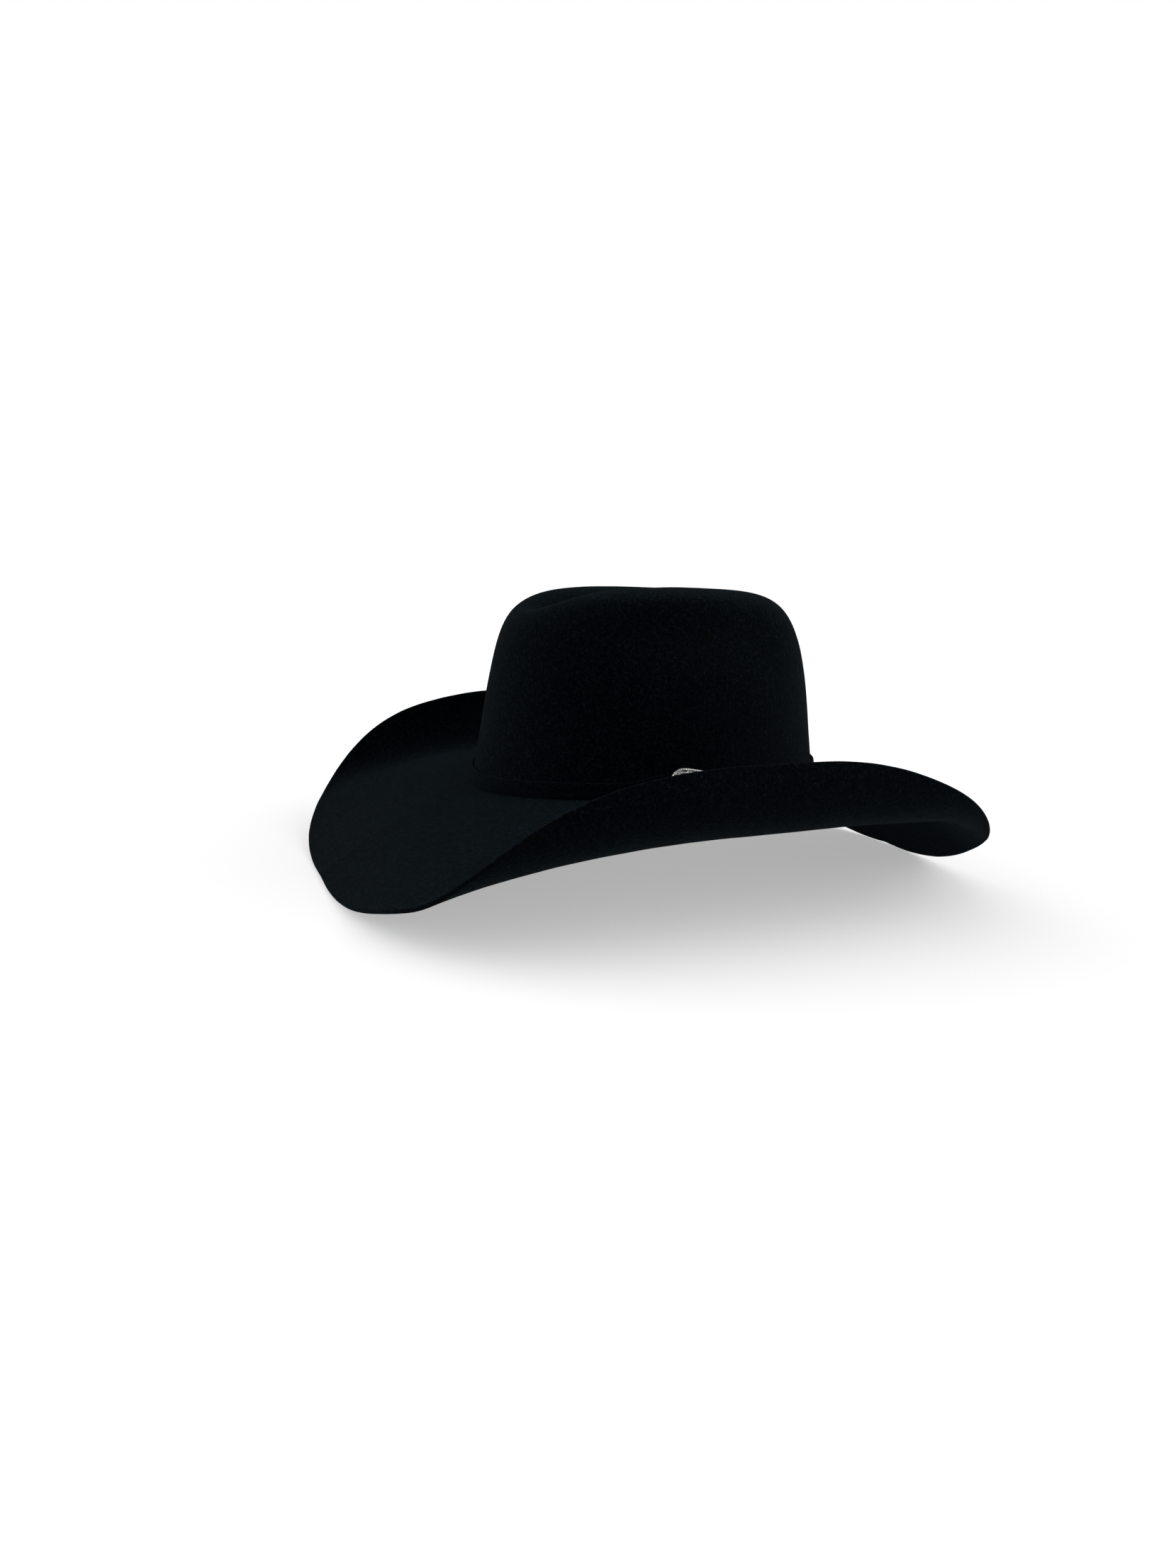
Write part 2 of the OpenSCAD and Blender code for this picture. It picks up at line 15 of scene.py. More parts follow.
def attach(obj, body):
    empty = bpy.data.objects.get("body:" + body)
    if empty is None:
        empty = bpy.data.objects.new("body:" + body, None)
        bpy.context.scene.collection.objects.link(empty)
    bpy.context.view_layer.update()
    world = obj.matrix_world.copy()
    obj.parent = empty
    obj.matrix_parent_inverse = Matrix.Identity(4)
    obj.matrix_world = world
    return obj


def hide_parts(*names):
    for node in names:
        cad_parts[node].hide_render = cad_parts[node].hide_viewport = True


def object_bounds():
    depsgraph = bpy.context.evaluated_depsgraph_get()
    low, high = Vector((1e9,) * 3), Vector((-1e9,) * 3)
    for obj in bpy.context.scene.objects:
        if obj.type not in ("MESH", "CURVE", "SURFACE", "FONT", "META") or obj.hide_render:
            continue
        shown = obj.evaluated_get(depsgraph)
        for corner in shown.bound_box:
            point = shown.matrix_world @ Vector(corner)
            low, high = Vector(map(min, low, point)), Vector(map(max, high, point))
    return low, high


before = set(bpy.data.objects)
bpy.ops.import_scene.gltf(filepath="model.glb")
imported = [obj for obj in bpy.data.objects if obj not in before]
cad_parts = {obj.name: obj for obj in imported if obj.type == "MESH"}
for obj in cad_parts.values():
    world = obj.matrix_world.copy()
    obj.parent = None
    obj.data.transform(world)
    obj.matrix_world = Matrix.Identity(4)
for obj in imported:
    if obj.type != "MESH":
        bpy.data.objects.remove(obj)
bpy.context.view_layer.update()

# ---- Driving sizes, as in part.scad, in millimetres and degrees ----

MM = 0.001
HALF_W, HALF_L, CROWN_H = 88.0, 104.5, 107.5
SHOULDER_FRONT, SHOULDER_BACK, SHOULDER_SIDE = 7.9, 5.2, 6.1
LEAN_FRONT, LEAN_BACK, LEAN_SIDE = 0.17, 0.14, 0.16
CREASE_DEPTH, CREASE_W = 18.0, 20.5
CREASE_FRONT, CREASE_BACK = 73.0, 72.0
CREASE_EASE_FRONT, CREASE_EASE_BACK = 14.0, 18.0
DENT_DEPTH, DENT_H, DENT_MID_Y, DENT_HALF_L, DENT_HALF_H = 8.0, 84.0, -5.0, 50.0, 18.0
FELT_T = 2.2
BRIM_FRONT, BRIM_BACK, BRIM_SIDE = 87.0, 90.5, 95.5
OUTLINE_FRONT, OUTLINE_TIP, OUTLINE_BACK = 3.09, 2.8, 2.2
CURL_START, CURL_ANGLE, SIDE_SLOPE = 127.0, 123.0, 7.4
FRONT_DIP, BACK_DIP, CORNER_RISE = 48.0, 63.0, 42.5
FRONT_FLAT, BACK_FLAT = 8.6, 85.0
FRONT_DIP_POWER, BACK_DIP_POWER, CURL_POWER = 3.26, 2.6, 1.17
CURL_GAIN_FRONT, CURL_GAIN_BACK = 0.557, -0.41
START_GAIN_FRONT, START_GAIN_TIP, START_GAIN_BACK = -0.049, -0.077, -0.03
RISE_FRONT, RISE_BACK = -0.085, 0.035
CURL_STEPS = 12
STAND_TURNS = 60
REACH_FRONT, REACH_BACK, REACH_SIDE = HALF_L + BRIM_FRONT, HALF_L + BRIM_BACK, HALF_W + BRIM_SIDE

# Band, its layers and the buckle set
BAND_H, BAND_T, BAND_GAP, BAND_FOOT, BAND_LIFT = 8.5, 1.6, 0.25, 0.5, 3.9
LIFT_FROM, LIFT_FULL, LIFT_FALL = -44.0, -18.0, 38.0
BUCKLE_TURN, TAIL_L, ARC_PER_TURN = -6.0, 52.0, 1.82
WALL_R = HALF_L * HALF_L / HALF_W
BAR_R, BAR_OUT, BAR_FIT = 0.8, 1.9, 0.06
FRAME_MID, TOE_Y, TOE_HALF_H, TOE_L = 8.3, -19.2, 8.0, 7.0
HEEL_HALF_H, HEEL_END, TOE_RIM, WINDOW_HALF_H = 6.0, 1.6, 3.9, 4.75
CHAPE_T, CHAPE_L, CHAPE_HALF_H, TONGUE_W = 0.8, 9.5, 3.8, 2.0
SLOT_FROM, SLOT_TO = -9.8, 2.2
STRAP_RISE_FROM, STRAP_RISE_TO, STRAP_TOP = -15.0, -2.4, 3.85
UNDER_START, UNDER_HIGH, UNDER_FALL_FROM, UNDER_FALL_TO, LAYER_STEP = 4.8, 1.1, 22.0, 33.0, 2.3
KEEPER_MID, KEEPER_HALF = 18.6, 2.4
TIP_MID = TAIL_L - 5

# Inside pieces, counted inwards from the outer face of the wall
LINING_T, SWEAT_T, SWEAT_H, SWEAT_FOOT = 0.7, 1.1, 58.0, 3.0
LINING_IN = FELT_T + 0.6
SWEAT_IN = LINING_IN + LINING_T + 0.4
REED_R, REED_H, REED_IN, TAPE_T = 0.8, 1.2, SWEAT_IN + 1.6, 0.35
LINING_LOW, LINING_SEAM, SEAM_GAP, SHIELD_RIM = 1 / 18, 0.512, 0.012, 0.8
TIP_IN = LINING_IN + 0.6
CORD_R = 0.9
CORD_IN = LINING_IN + 1.2 + CORD_R
LABEL_IN = SWEAT_IN + SWEAT_T + 0.75
BOW_IN = SWEAT_IN + SWEAT_T + 1.2
CURL_SOFTNESS = 0.12
SEED_PLACE = Vector((17.0, 5.0, 31.0))


# ---- Felt surfaces ----

def unit(v):
    return v / np.maximum(np.linalg.norm(v, axis=-1, keepdims=True), 1e-9)


def ease(x, start, end):
    k = np.clip((x - start) / (end - start), 0, 1)
    return k * k * (3 - 2 * k)


def superellipse(c, s, power, other=None):
    other = power if other is None else other
    return (np.abs(c) ** power + np.abs(s) ** other) ** (-2 / (power + other))


def droop(y):
    front = y < 0
    reach, flat = np.where(front, REACH_FRONT, REACH_BACK), np.where(front, FRONT_FLAT, BACK_FLAT)
    share = np.clip((np.abs(y) - flat) / (reach - flat), 0, None)
    return np.where(front, -FRONT_DIP * share ** FRONT_DIP_POWER, -BACK_DIP * share ** BACK_DIP_POWER)


def brim_point(turn, out):
    """Top of the brim: out runs from 0 at the crown to 1 at the edge."""
    c, s = np.cos(np.radians(turn)), np.sin(np.radians(turn))
    reach = np.where(s < 0, REACH_FRONT, REACH_BACK)
    k = superellipse(c, s, np.where(s < 0, OUTLINE_FRONT, OUTLINE_BACK), np.where(s < 0, OUTLINE_TIP, OUTLINE_BACK))
    flat_x = c * (HALF_W + (REACH_SIDE * k - HALF_W) * out)
    y = s * (HALF_L + (reach * k - HALF_L) * out)
    share = (y / reach) ** 2
    curl = CURL_ANGLE * (1 + np.where(y < 0, CURL_GAIN_FRONT, CURL_GAIN_BACK) * share)
    start = CURL_START * (1 + np.where(y < 0, START_GAIN_FRONT + START_GAIN_TIP * share, START_GAIN_BACK) * share)
    room = REACH_SIDE - start
    beyond = (np.abs(flat_x) - start) / room
    far = (beyond + np.sqrt(beyond**2 + CURL_SOFTNESS**2)) / 2
    run, climb = np.zeros_like(far), np.zeros_like(far)
    for i in range(CURL_STEPS):
        bend = np.radians(curl * (far * (i + 0.5) / CURL_STEPS) ** CURL_POWER - SIDE_SLOPE)
        run = run + np.cos(bend) / CURL_STEPS * far * room
        climb = climb + np.sin(bend) / CURL_STEPS * far * room
    inner = np.abs(flat_x) - far * room
    slope = math.tan(math.radians(SIDE_SLOPE)) * np.clip(inner - HALF_W * np.abs(c), 0, None)
    x = np.sign(c) * (inner + run)
    corner = np.where(y < 0, CORNER_RISE, 0) * (share * x / REACH_SIDE) ** 2
    return np.stack([x, y, climb - slope + corner + droop(y)], -1)


def crown_point(turn, up):
    """Outside of the crown: up runs from 0 at the base to 1 at the middle of the top."""
    c, s = np.cos(np.radians(turn)), np.sin(np.radians(turn))
    cu, su = np.cos(np.radians(90 * up)), np.sin(np.radians(90 * up))
    k = superellipse(cu, su, np.where(s < 0, SHOULDER_FRONT, SHOULDER_BACK) * s * s + SHOULDER_SIDE * c * c)
    rise = su * k
    lean = np.where(s < 0, LEAN_FRONT, LEAN_BACK) * s * s + LEAN_SIDE * c * c
    spread = cu * k * (1 - lean * rise)
    x, y = HALF_W * c * spread, HALF_L * s * spread
    share = (y / HALF_L) ** 2
    crease_on = (np.tanh((y + CREASE_FRONT) / CREASE_EASE_FRONT) - np.tanh((y - CREASE_BACK) / CREASE_EASE_BACK)) / 2
    crease = CREASE_DEPTH * np.exp(-((x / CREASE_W) ** 2)) * crease_on * rise**6
    dent_on = np.exp(-(((y - DENT_MID_Y) / DENT_HALF_L) ** 4) - ((rise * CROWN_H - DENT_H) / DENT_HALF_H) ** 2)
    dent = DENT_DEPTH * dent_on * np.minimum(1, np.abs(x) / 40)
    height = rise * CROWN_H * (1 + np.where(y < 0, RISE_FRONT, RISE_BACK) * share)
    foot = droop(HALF_L * s) * np.clip(1 - rise, 0, None) ** 1.5
    return np.stack([x - np.sign(c) * dent, y, height - crease + foot], -1)


def brim_normal(turn, out):
    a, b = np.clip(out - 0.02, 0, None), np.clip(out + 0.02, None, 1)
    along = brim_point(turn, b) - brim_point(turn, a)
    return unit(np.cross(along, brim_point(turn + 1, out) - brim_point(turn - 1, out)))


def crown_normal(turn, up):
    a, b = np.clip(up - 0.02, 0, None), np.clip(up + 0.02, None, 0.99)
    along = crown_point(turn, b) - crown_point(turn, a)
    return unit(np.cross(crown_point(turn + 1, up) - crown_point(turn - 1, up), along))


def under_crown(turn, up, depth):
    return crown_point(turn, up) - np.asarray(depth)[..., None] * crown_normal(turn, up)


def under_brim(turn, out):
    return brim_point(turn, out) - FELT_T * brim_normal(turn, out)


# ---- Places on the wall ----

def wall_out(turn):
    a = np.arctan2(HALF_W * np.sin(np.radians(turn)), HALF_L * np.cos(np.radians(turn)))
    return np.stack([np.cos(a), np.sin(a), np.zeros_like(a)], -1)


def wall_point(turn, height, out):
    """A point at a height above the brim break on the straight part of the wall, moved outwards from it."""
    c, s = np.cos(np.radians(turn)), np.sin(np.radians(turn))
    foot = droop(HALF_L * s)
    lean = np.where(s < 0, LEAN_FRONT, LEAN_BACK) * s * s + LEAN_SIDE * c * c
    spread = 1 - lean * height / (CROWN_H - 1.5 * foot)
    flat = np.stack(np.broadcast_arrays(HALF_W * c * spread, HALF_L * s * spread, foot + height), -1)
    return flat + np.asarray(out)[..., None] * wall_out(turn)


def turn_at(along):
    return BUCKLE_TURN + along / ARC_PER_TURN


def lift(along):
    """How far the band rides up where it passes through the buckle set."""
    return BAND_LIFT * ease(along, LIFT_FROM, LIFT_FULL) * (1 - ease(along, TAIL_L + 2, TAIL_L + 2 + LIFT_FALL))


def sag(along):
    return along**2 / (2 * WALL_R)


def under_layer(along):
    high = UNDER_HIGH + sag(np.minimum(along, CHAPE_L + 1))
    return high - (high - BAND_GAP) * ease(along, UNDER_FALL_FROM, UNDER_FALL_TO)


def over_layer(along):
    front = BAND_GAP + (STRAP_TOP - BAND_GAP) * ease(along, STRAP_RISE_FROM, STRAP_RISE_TO)
    high = STRAP_TOP + sag(np.clip(along, 0, CHAPE_L + 1))
    back = high + (under_layer(along) + LAYER_STEP - high) * ease(along, CHAPE_L + 1, CHAPE_L + 5)
    return np.where(along < 0, front, back)


def wall_frame(turn, height, out=0.0):
    """Local frame on the wall: x outwards, y along the band towards the back, z up the wall."""
    c, s = math.cos(math.radians(turn)), math.sin(math.radians(turn))
    lean = (LEAN_FRONT if s < 0 else LEAN_BACK) * s * s + LEAN_SIDE * c * c
    tilt = math.atan(lean * math.hypot(HALF_W * c, HALF_L * s) / CROWN_H)
    way = math.atan2(HALF_W * s, HALF_L * c)
    spin = Matrix.Rotation(way, 4, "Z") @ Matrix.Rotation(-tilt, 4, "Y")
    place = Matrix.Translation(Vector(wall_point(np.array(turn), np.array(height), np.array(0.0))))
    return place @ spin @ Matrix.Translation((out, 0, 0))


def strap_frame(along, out):
    """Local frame whose z = 0 is the middle of the band where that lies a given distance outwards."""
    along = float(along)
    turn = float(turn_at(along))
    s, c = math.sin(math.radians(turn)), math.cos(math.radians(turn))
    lean = (LEAN_FRONT if s < 0 else LEAN_BACK) * s * s + LEAN_SIDE * c * c
    tilt = math.atan(lean * math.hypot(HALF_W * c, HALF_L * s) / CROWN_H)
    middle = BAND_FOOT + float(lift(along)) + BAND_H / 2
    return wall_frame(turn, middle) @ Matrix.Translation((0, 0, -out * math.sin(tilt)))


def in_frame(local, points):
    """Points of a local frame in the crown's frame."""
    m = np.array(local)
    return points @ m[:3, :3].T + m[:3, 3]


# ---- Standing on the floor ----

def standing():
    turn = np.arange(STAND_TURNS) * 360 / STAND_TURNS
    low = under_brim(turn, np.ones_like(turn))
    front, back = low[low[:, 1] < 0], low[low[:, 1] > 0]
    a, b = front[front[:, 2].argmin()], back[back[:, 2].argmin()]
    lean = math.atan2(a[2] - b[2], b[1] - a[1])
    floor = (low[:, 1] * math.sin(lean) + low[:, 2] * math.cos(lean)).min()
    top = brim_point(turn, np.ones_like(turn))
    y = top[:, 1] * math.cos(lean) - top[:, 2] * math.sin(lean)
    return lean, -(y.min() + y.max()) / 2, -floor


LEAN, SHIFT_Y, SHIFT_Z = standing()
STAND = Matrix.Translation((0, SHIFT_Y, SHIFT_Z)) @ Matrix.Rotation(LEAN, 4, "X")


def stand(points):
    """Points of the crown's frame in the row frame, in metres."""
    return in_frame(STAND, points) * MM


def wavered(points, amount, size):
    """Points of soft material, moved a little by a smooth field, so that nothing is perfectly even."""
    flat = points.reshape(-1, 3)
    field = [noise.noise_vector(Vector(p) / size + SEED_PLACE) for p in flat]
    return points + amount * np.array(field).reshape(points.shape)


def hand_made(points):
    """The field shared by the felt and all that lies on it."""
    return wavered(wavered(points, 0.45, 46.0), 0.1, 12.0)


# ---- Meshes ----

def skin(sections, closed=False):
    """A tube through rings of points, closed along its way or capped at both ends."""
    count, size = sections.shape[:2]
    faces = []
    for i in range(count if closed else count - 1):
        a, b = i * size, (i + 1) % count * size
        faces += [(a + j, a + (j + 1) % size, b + (j + 1) % size, b + j) for j in range(size)]
    if not closed:
        faces += [tuple(range(size)), tuple(range((count - 1) * size, count * size))]
    return sections.reshape(-1, 3), faces


def slab(front, back, keep=None, closed=False):
    """A sheet between two grids of points, with walls round its edges and its holes."""
    rows, cols = front.shape[:2]
    spans = rows if closed else rows - 1
    keep = np.ones((spans, cols - 1), bool) if keep is None else keep
    shift = rows * cols

    def kept(i, j):
        i = i % spans if closed else i
        return 0 <= i < spans and 0 <= j < cols - 1 and keep[i, j]

    faces = []
    for i, j in np.argwhere(keep):
        a, b = int(i * cols + j), int((i + 1) % rows * cols + j)
        c, d = b + 1, a + 1
        faces += [(a, b, c, d), (d + shift, c + shift, b + shift, a + shift)]
        beside = [(i, j - 1, a, b), (i + 1, j, b, c), (i, j + 1, c, d), (i - 1, j, d, a)]
        faces += [(q, p, p + shift, q + shift) for ni, nj, p, q in beside if not kept(ni, nj)]
    return np.concatenate([front.reshape(-1, 3), back.reshape(-1, 3)]), faces


def joined(parts):
    """Several shapes as one."""
    points, faces, start = [], [], 0
    for p, f in parts:
        points.append(p)
        faces += [tuple(i + start for i in face) for face in f]
        start += len(p)
    return np.concatenate(points), faces


def piece(name, shape, material, nodes, body="hat", worn=None):
    """A finished piece: its mesh in the row frame, what it stands for and what it rides on."""
    points, faces = shape
    mesh = bpy.data.meshes.new(name)
    mesh.from_pydata(stand(points).tolist(), [], faces)
    if worn is not None:
        mesh.attributes.new("worn", "FLOAT", "POINT").data.foreach_set("value", np.asarray(worn, float))
    work = bmesh.new()
    work.from_mesh(mesh)
    bmesh.ops.delete(work, geom=[v for v in work.verts if not v.link_faces], context="VERTS")
    bmesh.ops.recalc_face_normals(work, faces=work.faces)
    work.to_mesh(mesh)
    work.free()
    mesh.shade_smooth()
    mesh.materials.append(material)
    obj = bpy.data.objects.new(name, mesh)
    bpy.context.scene.collection.objects.link(obj)
    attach(obj, body)
    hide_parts(*nodes)
    return obj


def edge_round(across, length, radius, least=0.18):
    """Share of the full thickness at a distance across a strip, so that its two edges are round."""
    inset = np.minimum(across, length - across)
    return np.maximum(least, np.sqrt(np.clip(1 - (1 - np.clip(inset / radius, 0, 1)) ** 2, 0, 1)))


# ---- Materials ----

def material(name, colour, roughness, **settings):
    """A material with its plain numbers set straight on the shader."""
    mat = bpy.data.materials.new(name)
    mat.use_nodes = True
    shader = mat.node_tree.nodes["Principled BSDF"]
    shader.inputs["Base Color"].default_value = (*colour, 1)
    shader.inputs["Roughness"].default_value = roughness
    for key, value in settings.items():
        shader.inputs[key.replace("_", " ")].default_value = value
    return mat


def add(mat, kind, **inputs):
    node = mat.node_tree.nodes.new(kind)
    for key, value in inputs.items():
        wire(mat, value, node.inputs[key.replace("_", " ")])
    return node


def wire(mat, value, socket):
    """Links a node's first output, or an output itself, to a socket, or sets the socket to a number."""
    if isinstance(value, bpy.types.Node):
        value = value.outputs[0]
    if isinstance(value, bpy.types.NodeSocket):
        mat.node_tree.links.new(value, socket)
    else:
        socket.default_value = value


def place_of(mat, stretch=(1, 1, 1)):
    """The piece's own coordinates, in metres, stretched."""
    where = add(mat, "ShaderNodeTexCoord")
    mapping = add(mat, "ShaderNodeMapping", Scale=stretch)
    mat.node_tree.links.new(where.outputs["Object"], mapping.inputs["Vector"])
    return mapping


def grain(mat, where, size, detail=3.0, rough=0.6, distortion=0.0):
    """Noise whose features are about size metres wide."""
    return add(mat, "ShaderNodeTexNoise", Vector=where, Scale=1 / size, Detail=detail, Roughness=rough,
               Distortion=distortion)


def between(mat, value, low, high, to_low=0.0, to_high=1.0):
    """A value moved from one range to another."""
    node = add(mat, "ShaderNodeMapRange", Value=value)
    for key, number in (("From Min", low), ("From Max", high), ("To Min", to_low), ("To Max", to_high)):
        node.inputs[key].default_value = number
    return node


def blend(mat, share, colour_a, colour_b):
    node = mat.node_tree.nodes.new("ShaderNodeMix")
    node.data_type = "RGBA"
    wire(mat, share, node.inputs["Factor"])
    for key, colour in (("A", colour_a), ("B", colour_b)):
        socket = next(s for s in node.inputs if s.name == key and s.type == "RGBA")
        wire(mat, colour if isinstance(colour, (bpy.types.NodeSocket, bpy.types.Node)) else (*colour, 1), socket)
    return next(s for s in node.outputs if s.type == "RGBA")


def maths(mat, operation, a, b):
    node = mat.node_tree.nodes.new("ShaderNodeMath")
    node.operation = operation
    wire(mat, a, node.inputs[0])
    wire(mat, b, node.inputs[1])
    return node


def finish_with(mat, colour=None, roughness=None, height=None, strength=0.5, distance=0.0002):
    """Links colour, roughness and bump to the shader."""
    shader = mat.node_tree.nodes["Principled BSDF"]
    if colour is not None:
        wire(mat, colour, shader.inputs["Base Color"])
    if roughness is not None:
        wire(mat, roughness, shader.inputs["Roughness"])
    if height is not None:
        bump = add(mat, "ShaderNodeBump", Height=height, Strength=strength, Distance=distance)
        wire(mat, bump, shader.inputs["Normal"])
    return mat


def felt(name, nap, sheen):
    """Brushed fur felt: near black, with a soft nap, cloudy brush marks and a few specks of lint."""
    mat = material(name, (0.001, 0.0012, 0.0015), 0.95, Specular_IOR_Level=0.02, Sheen_Weight=sheen,
                   Specular_Tint=(0.4, 0.75, 1.0, 1), Sheen_Roughness=0.36, Sheen_Tint=(0.48, 0.8, 1.0, 1))
    where = place_of(mat)
    clouds = grain(mat, where, 0.03, 3, 0.6, 0.8)
    fibres = grain(mat, where, nap, 5, 0.8, 0.8)
    pile = grain(mat, place_of(mat, (1, 1, 0.35)), nap * 2.6, 3, 0.6, 1.2)
    tone = blend(mat, between(mat, clouds, 0.35, 0.65), (0.0002, 0.0003, 0.0005), (0.0005, 0.0008, 0.0013))
    flecked = blend(mat, between(mat, fibres, 0.5, 0.62, 0, 1), tone, (0.0056, 0.0086, 0.0118))
    lint = between(mat, grain(mat, where, 0.0011, 1), 0.79, 0.82)
    height = maths(mat, "ADD", fibres, pile)
    return finish_with(mat, blend(mat, lint, flecked, (0.03, 0.035, 0.04)), None, height, 1.0, 0.0008)


def thread(name, dark, light):
    mat = material(name, dark, 0.8, Specular_IOR_Level=0.15)
    twist = add(mat, "ShaderNodeTexWave", Vector=place_of(mat), Scale=900.0, Distortion=1.5)
    return finish_with(mat, blend(mat, twist, dark, light), None, twist, 0.6, 0.0001)


def silver():
    """Antiqued silver: bright where it is rubbed, dark in its grooves."""
    mat = material("silver", (0.8, 0.79, 0.77), 0.25, Metallic=1.0)
    worn = mat.node_tree.nodes.new("ShaderNodeAttribute")
    worn.attribute_name = "worn"
    where = place_of(mat)
    patches = grain(mat, where, 0.0035, 4)
    scratches = grain(mat, place_of(mat, (1, 0.12, 1)), 0.0004, 2)
    shine = maths(mat, "ADD", worn.outputs["Fac"], between(mat, patches, 0.3, 0.7, -0.22, 0.22))
    rubbed = between(mat, shine, 0.32, 0.74)
    colour = blend(mat, rubbed, (0.004, 0.004, 0.005), (0.86, 0.85, 0.83))
    return finish_with(mat, colour, between(mat, rubbed, 0, 1, 0.6, 0.24), scratches, 0.25, 0.00004)


def steel():
    mat = material("steel", (0.5, 0.5, 0.51), 0.32, Metallic=1.0)
    brushed = grain(mat, place_of(mat, (1, 1, 0.08)), 0.0003, 2)
    colour = blend(mat, grain(mat, place_of(mat), 0.002, 3), (0.34, 0.34, 0.35), (0.6, 0.6, 0.6))
    return finish_with(mat, colour, between(mat, brushed, 0.3, 0.7, 0.25, 0.45), brushed, 0.3, 0.00003)


def leather():
    """Dark roan leather with a fine pebble, creases and rubbed high spots."""
    mat = material("sweat_leather", (0.03, 0.017, 0.01), 0.5, Specular_IOR_Level=0.4)
    where = place_of(mat)
    pebble = add(mat, "ShaderNodeTexVoronoi", Vector=where, Scale=1100.0)
    creases = grain(mat, place_of(mat, (1, 1, 2.5)), 0.004, 5, 0.65, 1.5)
    tone = blend(mat, between(mat, grain(mat, where, 0.02, 3), 0.35, 0.65), (0.024, 0.013, 0.008),
                 (0.045, 0.026, 0.016))
    colour = blend(mat, between(mat, pebble, 0.1, 0.6), tone, (0.018, 0.01, 0.006))
    height = maths(mat, "SUBTRACT", creases, pebble)
    return finish_with(mat, colour, between(mat, creases, 0.3, 0.7, 0.42, 0.62), height, 0.5, 0.00025)


def woven(name, dark, light, rib, sheen=0.3, roughness=0.6, across=(0, 0, 1)):
    """Cloth woven with ribs across it."""
    mat = material(name, dark, roughness, Sheen_Weight=sheen)
    where = place_of(mat, (1, 1, 1))
    ribs = add(mat, "ShaderNodeTexWave", Vector=where, Scale=1 / rib, Distortion=0.8, Detail=1.0)
    ribs.bands_direction = "DIAGONAL" if sum(across) > 1 else "Z"
    wefts = add(mat, "ShaderNodeTexWave", Vector=where, Scale=1.6 / rib, Distortion=0.8, Detail=1.0)
    wefts.bands_direction = "X"
    weave = maths(mat, "MULTIPLY", ribs, wefts)
    shade = blend(mat, between(mat, grain(mat, where, 0.012, 2), 0.35, 0.65), dark, light)
    colour = blend(mat, between(mat, weave, 0, 1, 0, 0.5), shade, light)
    return finish_with(mat, colour, None, weave, 0.5, 0.0001)


def satin():
    """Charcoal satin: long floats that shine along one way."""
    mat = material("satin", (0.02, 0.021, 0.026), 0.34, Specular_IOR_Level=0.7, Sheen_Weight=0.25,
                   Anisotropic=0.6)
    where = place_of(mat)
    floats = grain(mat, place_of(mat, (1, 1, 0.1)), 0.0003, 2, 0.5)
    cloth = blend(mat, between(mat, grain(mat, where, 0.03, 3), 0.35, 0.65), (0.015, 0.016, 0.02),
                  (0.032, 0.034, 0.042))
    return finish_with(mat, cloth, between(mat, floats, 0.3, 0.7, 0.28, 0.44), floats, 0.25, 0.00008)


def plastic():
    mat = material("reed_plastic", (0.7, 0.7, 0.64), 0.4)
    where = place_of(mat)
    return finish_with(mat, blend(mat, grain(mat, where, 0.008, 2), (0.62, 0.62, 0.55), (0.78, 0.78, 0.72)),
                       None, grain(mat, where, 0.0006, 2), 0.2, 0.00005)


def vinyl():
    """Clear film over the middle of the lining."""
    mat = material("clear_vinyl", (0.75, 0.78, 0.8), 0.12, Alpha=0.2, Specular_IOR_Level=0.6)
    where = place_of(mat)
    return finish_with(mat, blend(mat, grain(mat, where, 0.02, 2), (0.7, 0.74, 0.76), (0.82, 0.84, 0.85)),
                       None, grain(mat, where, 0.014, 2), 0.3, 0.0006)


# ---- Felt body ----

FELT_AROUND, CROWN_ROWS, BRIM_ROWS = 360, 84, 64
BREAK_R, UNDER_BREAK_R = 2.0, 4.4


def rows_of(turn, values, place):
    return [place(turn, np.full_like(turn, v)) for v in values]


def rounded_corner(a, corner, b, steps=5):
    """Rows of points that round a corner from a to b."""
    shares = [(i + 1) / (steps + 1) for i in range(steps)]
    return [(1 - t) ** 2 * a + 2 * t * (1 - t) * corner + t * t * b for t in shares]


def cut_edge(turn):
    """The brim's raw cut edge: nearly flat, with rounded corners."""
    ones = np.ones_like(turn)
    normal = brim_normal(turn, ones)
    out = unit(brim_point(turn, ones) - brim_point(turn, ones * 0.985))
    middle = brim_point(turn, ones) - normal * FELT_T / 2
    angles = np.radians([62, 40, 20, 0, -20, -40, -62])
    return [middle + FELT_T * (0.36 * math.cos(a) ** 0.7 * out + 0.5 * math.sin(a) * normal) for a in angles]


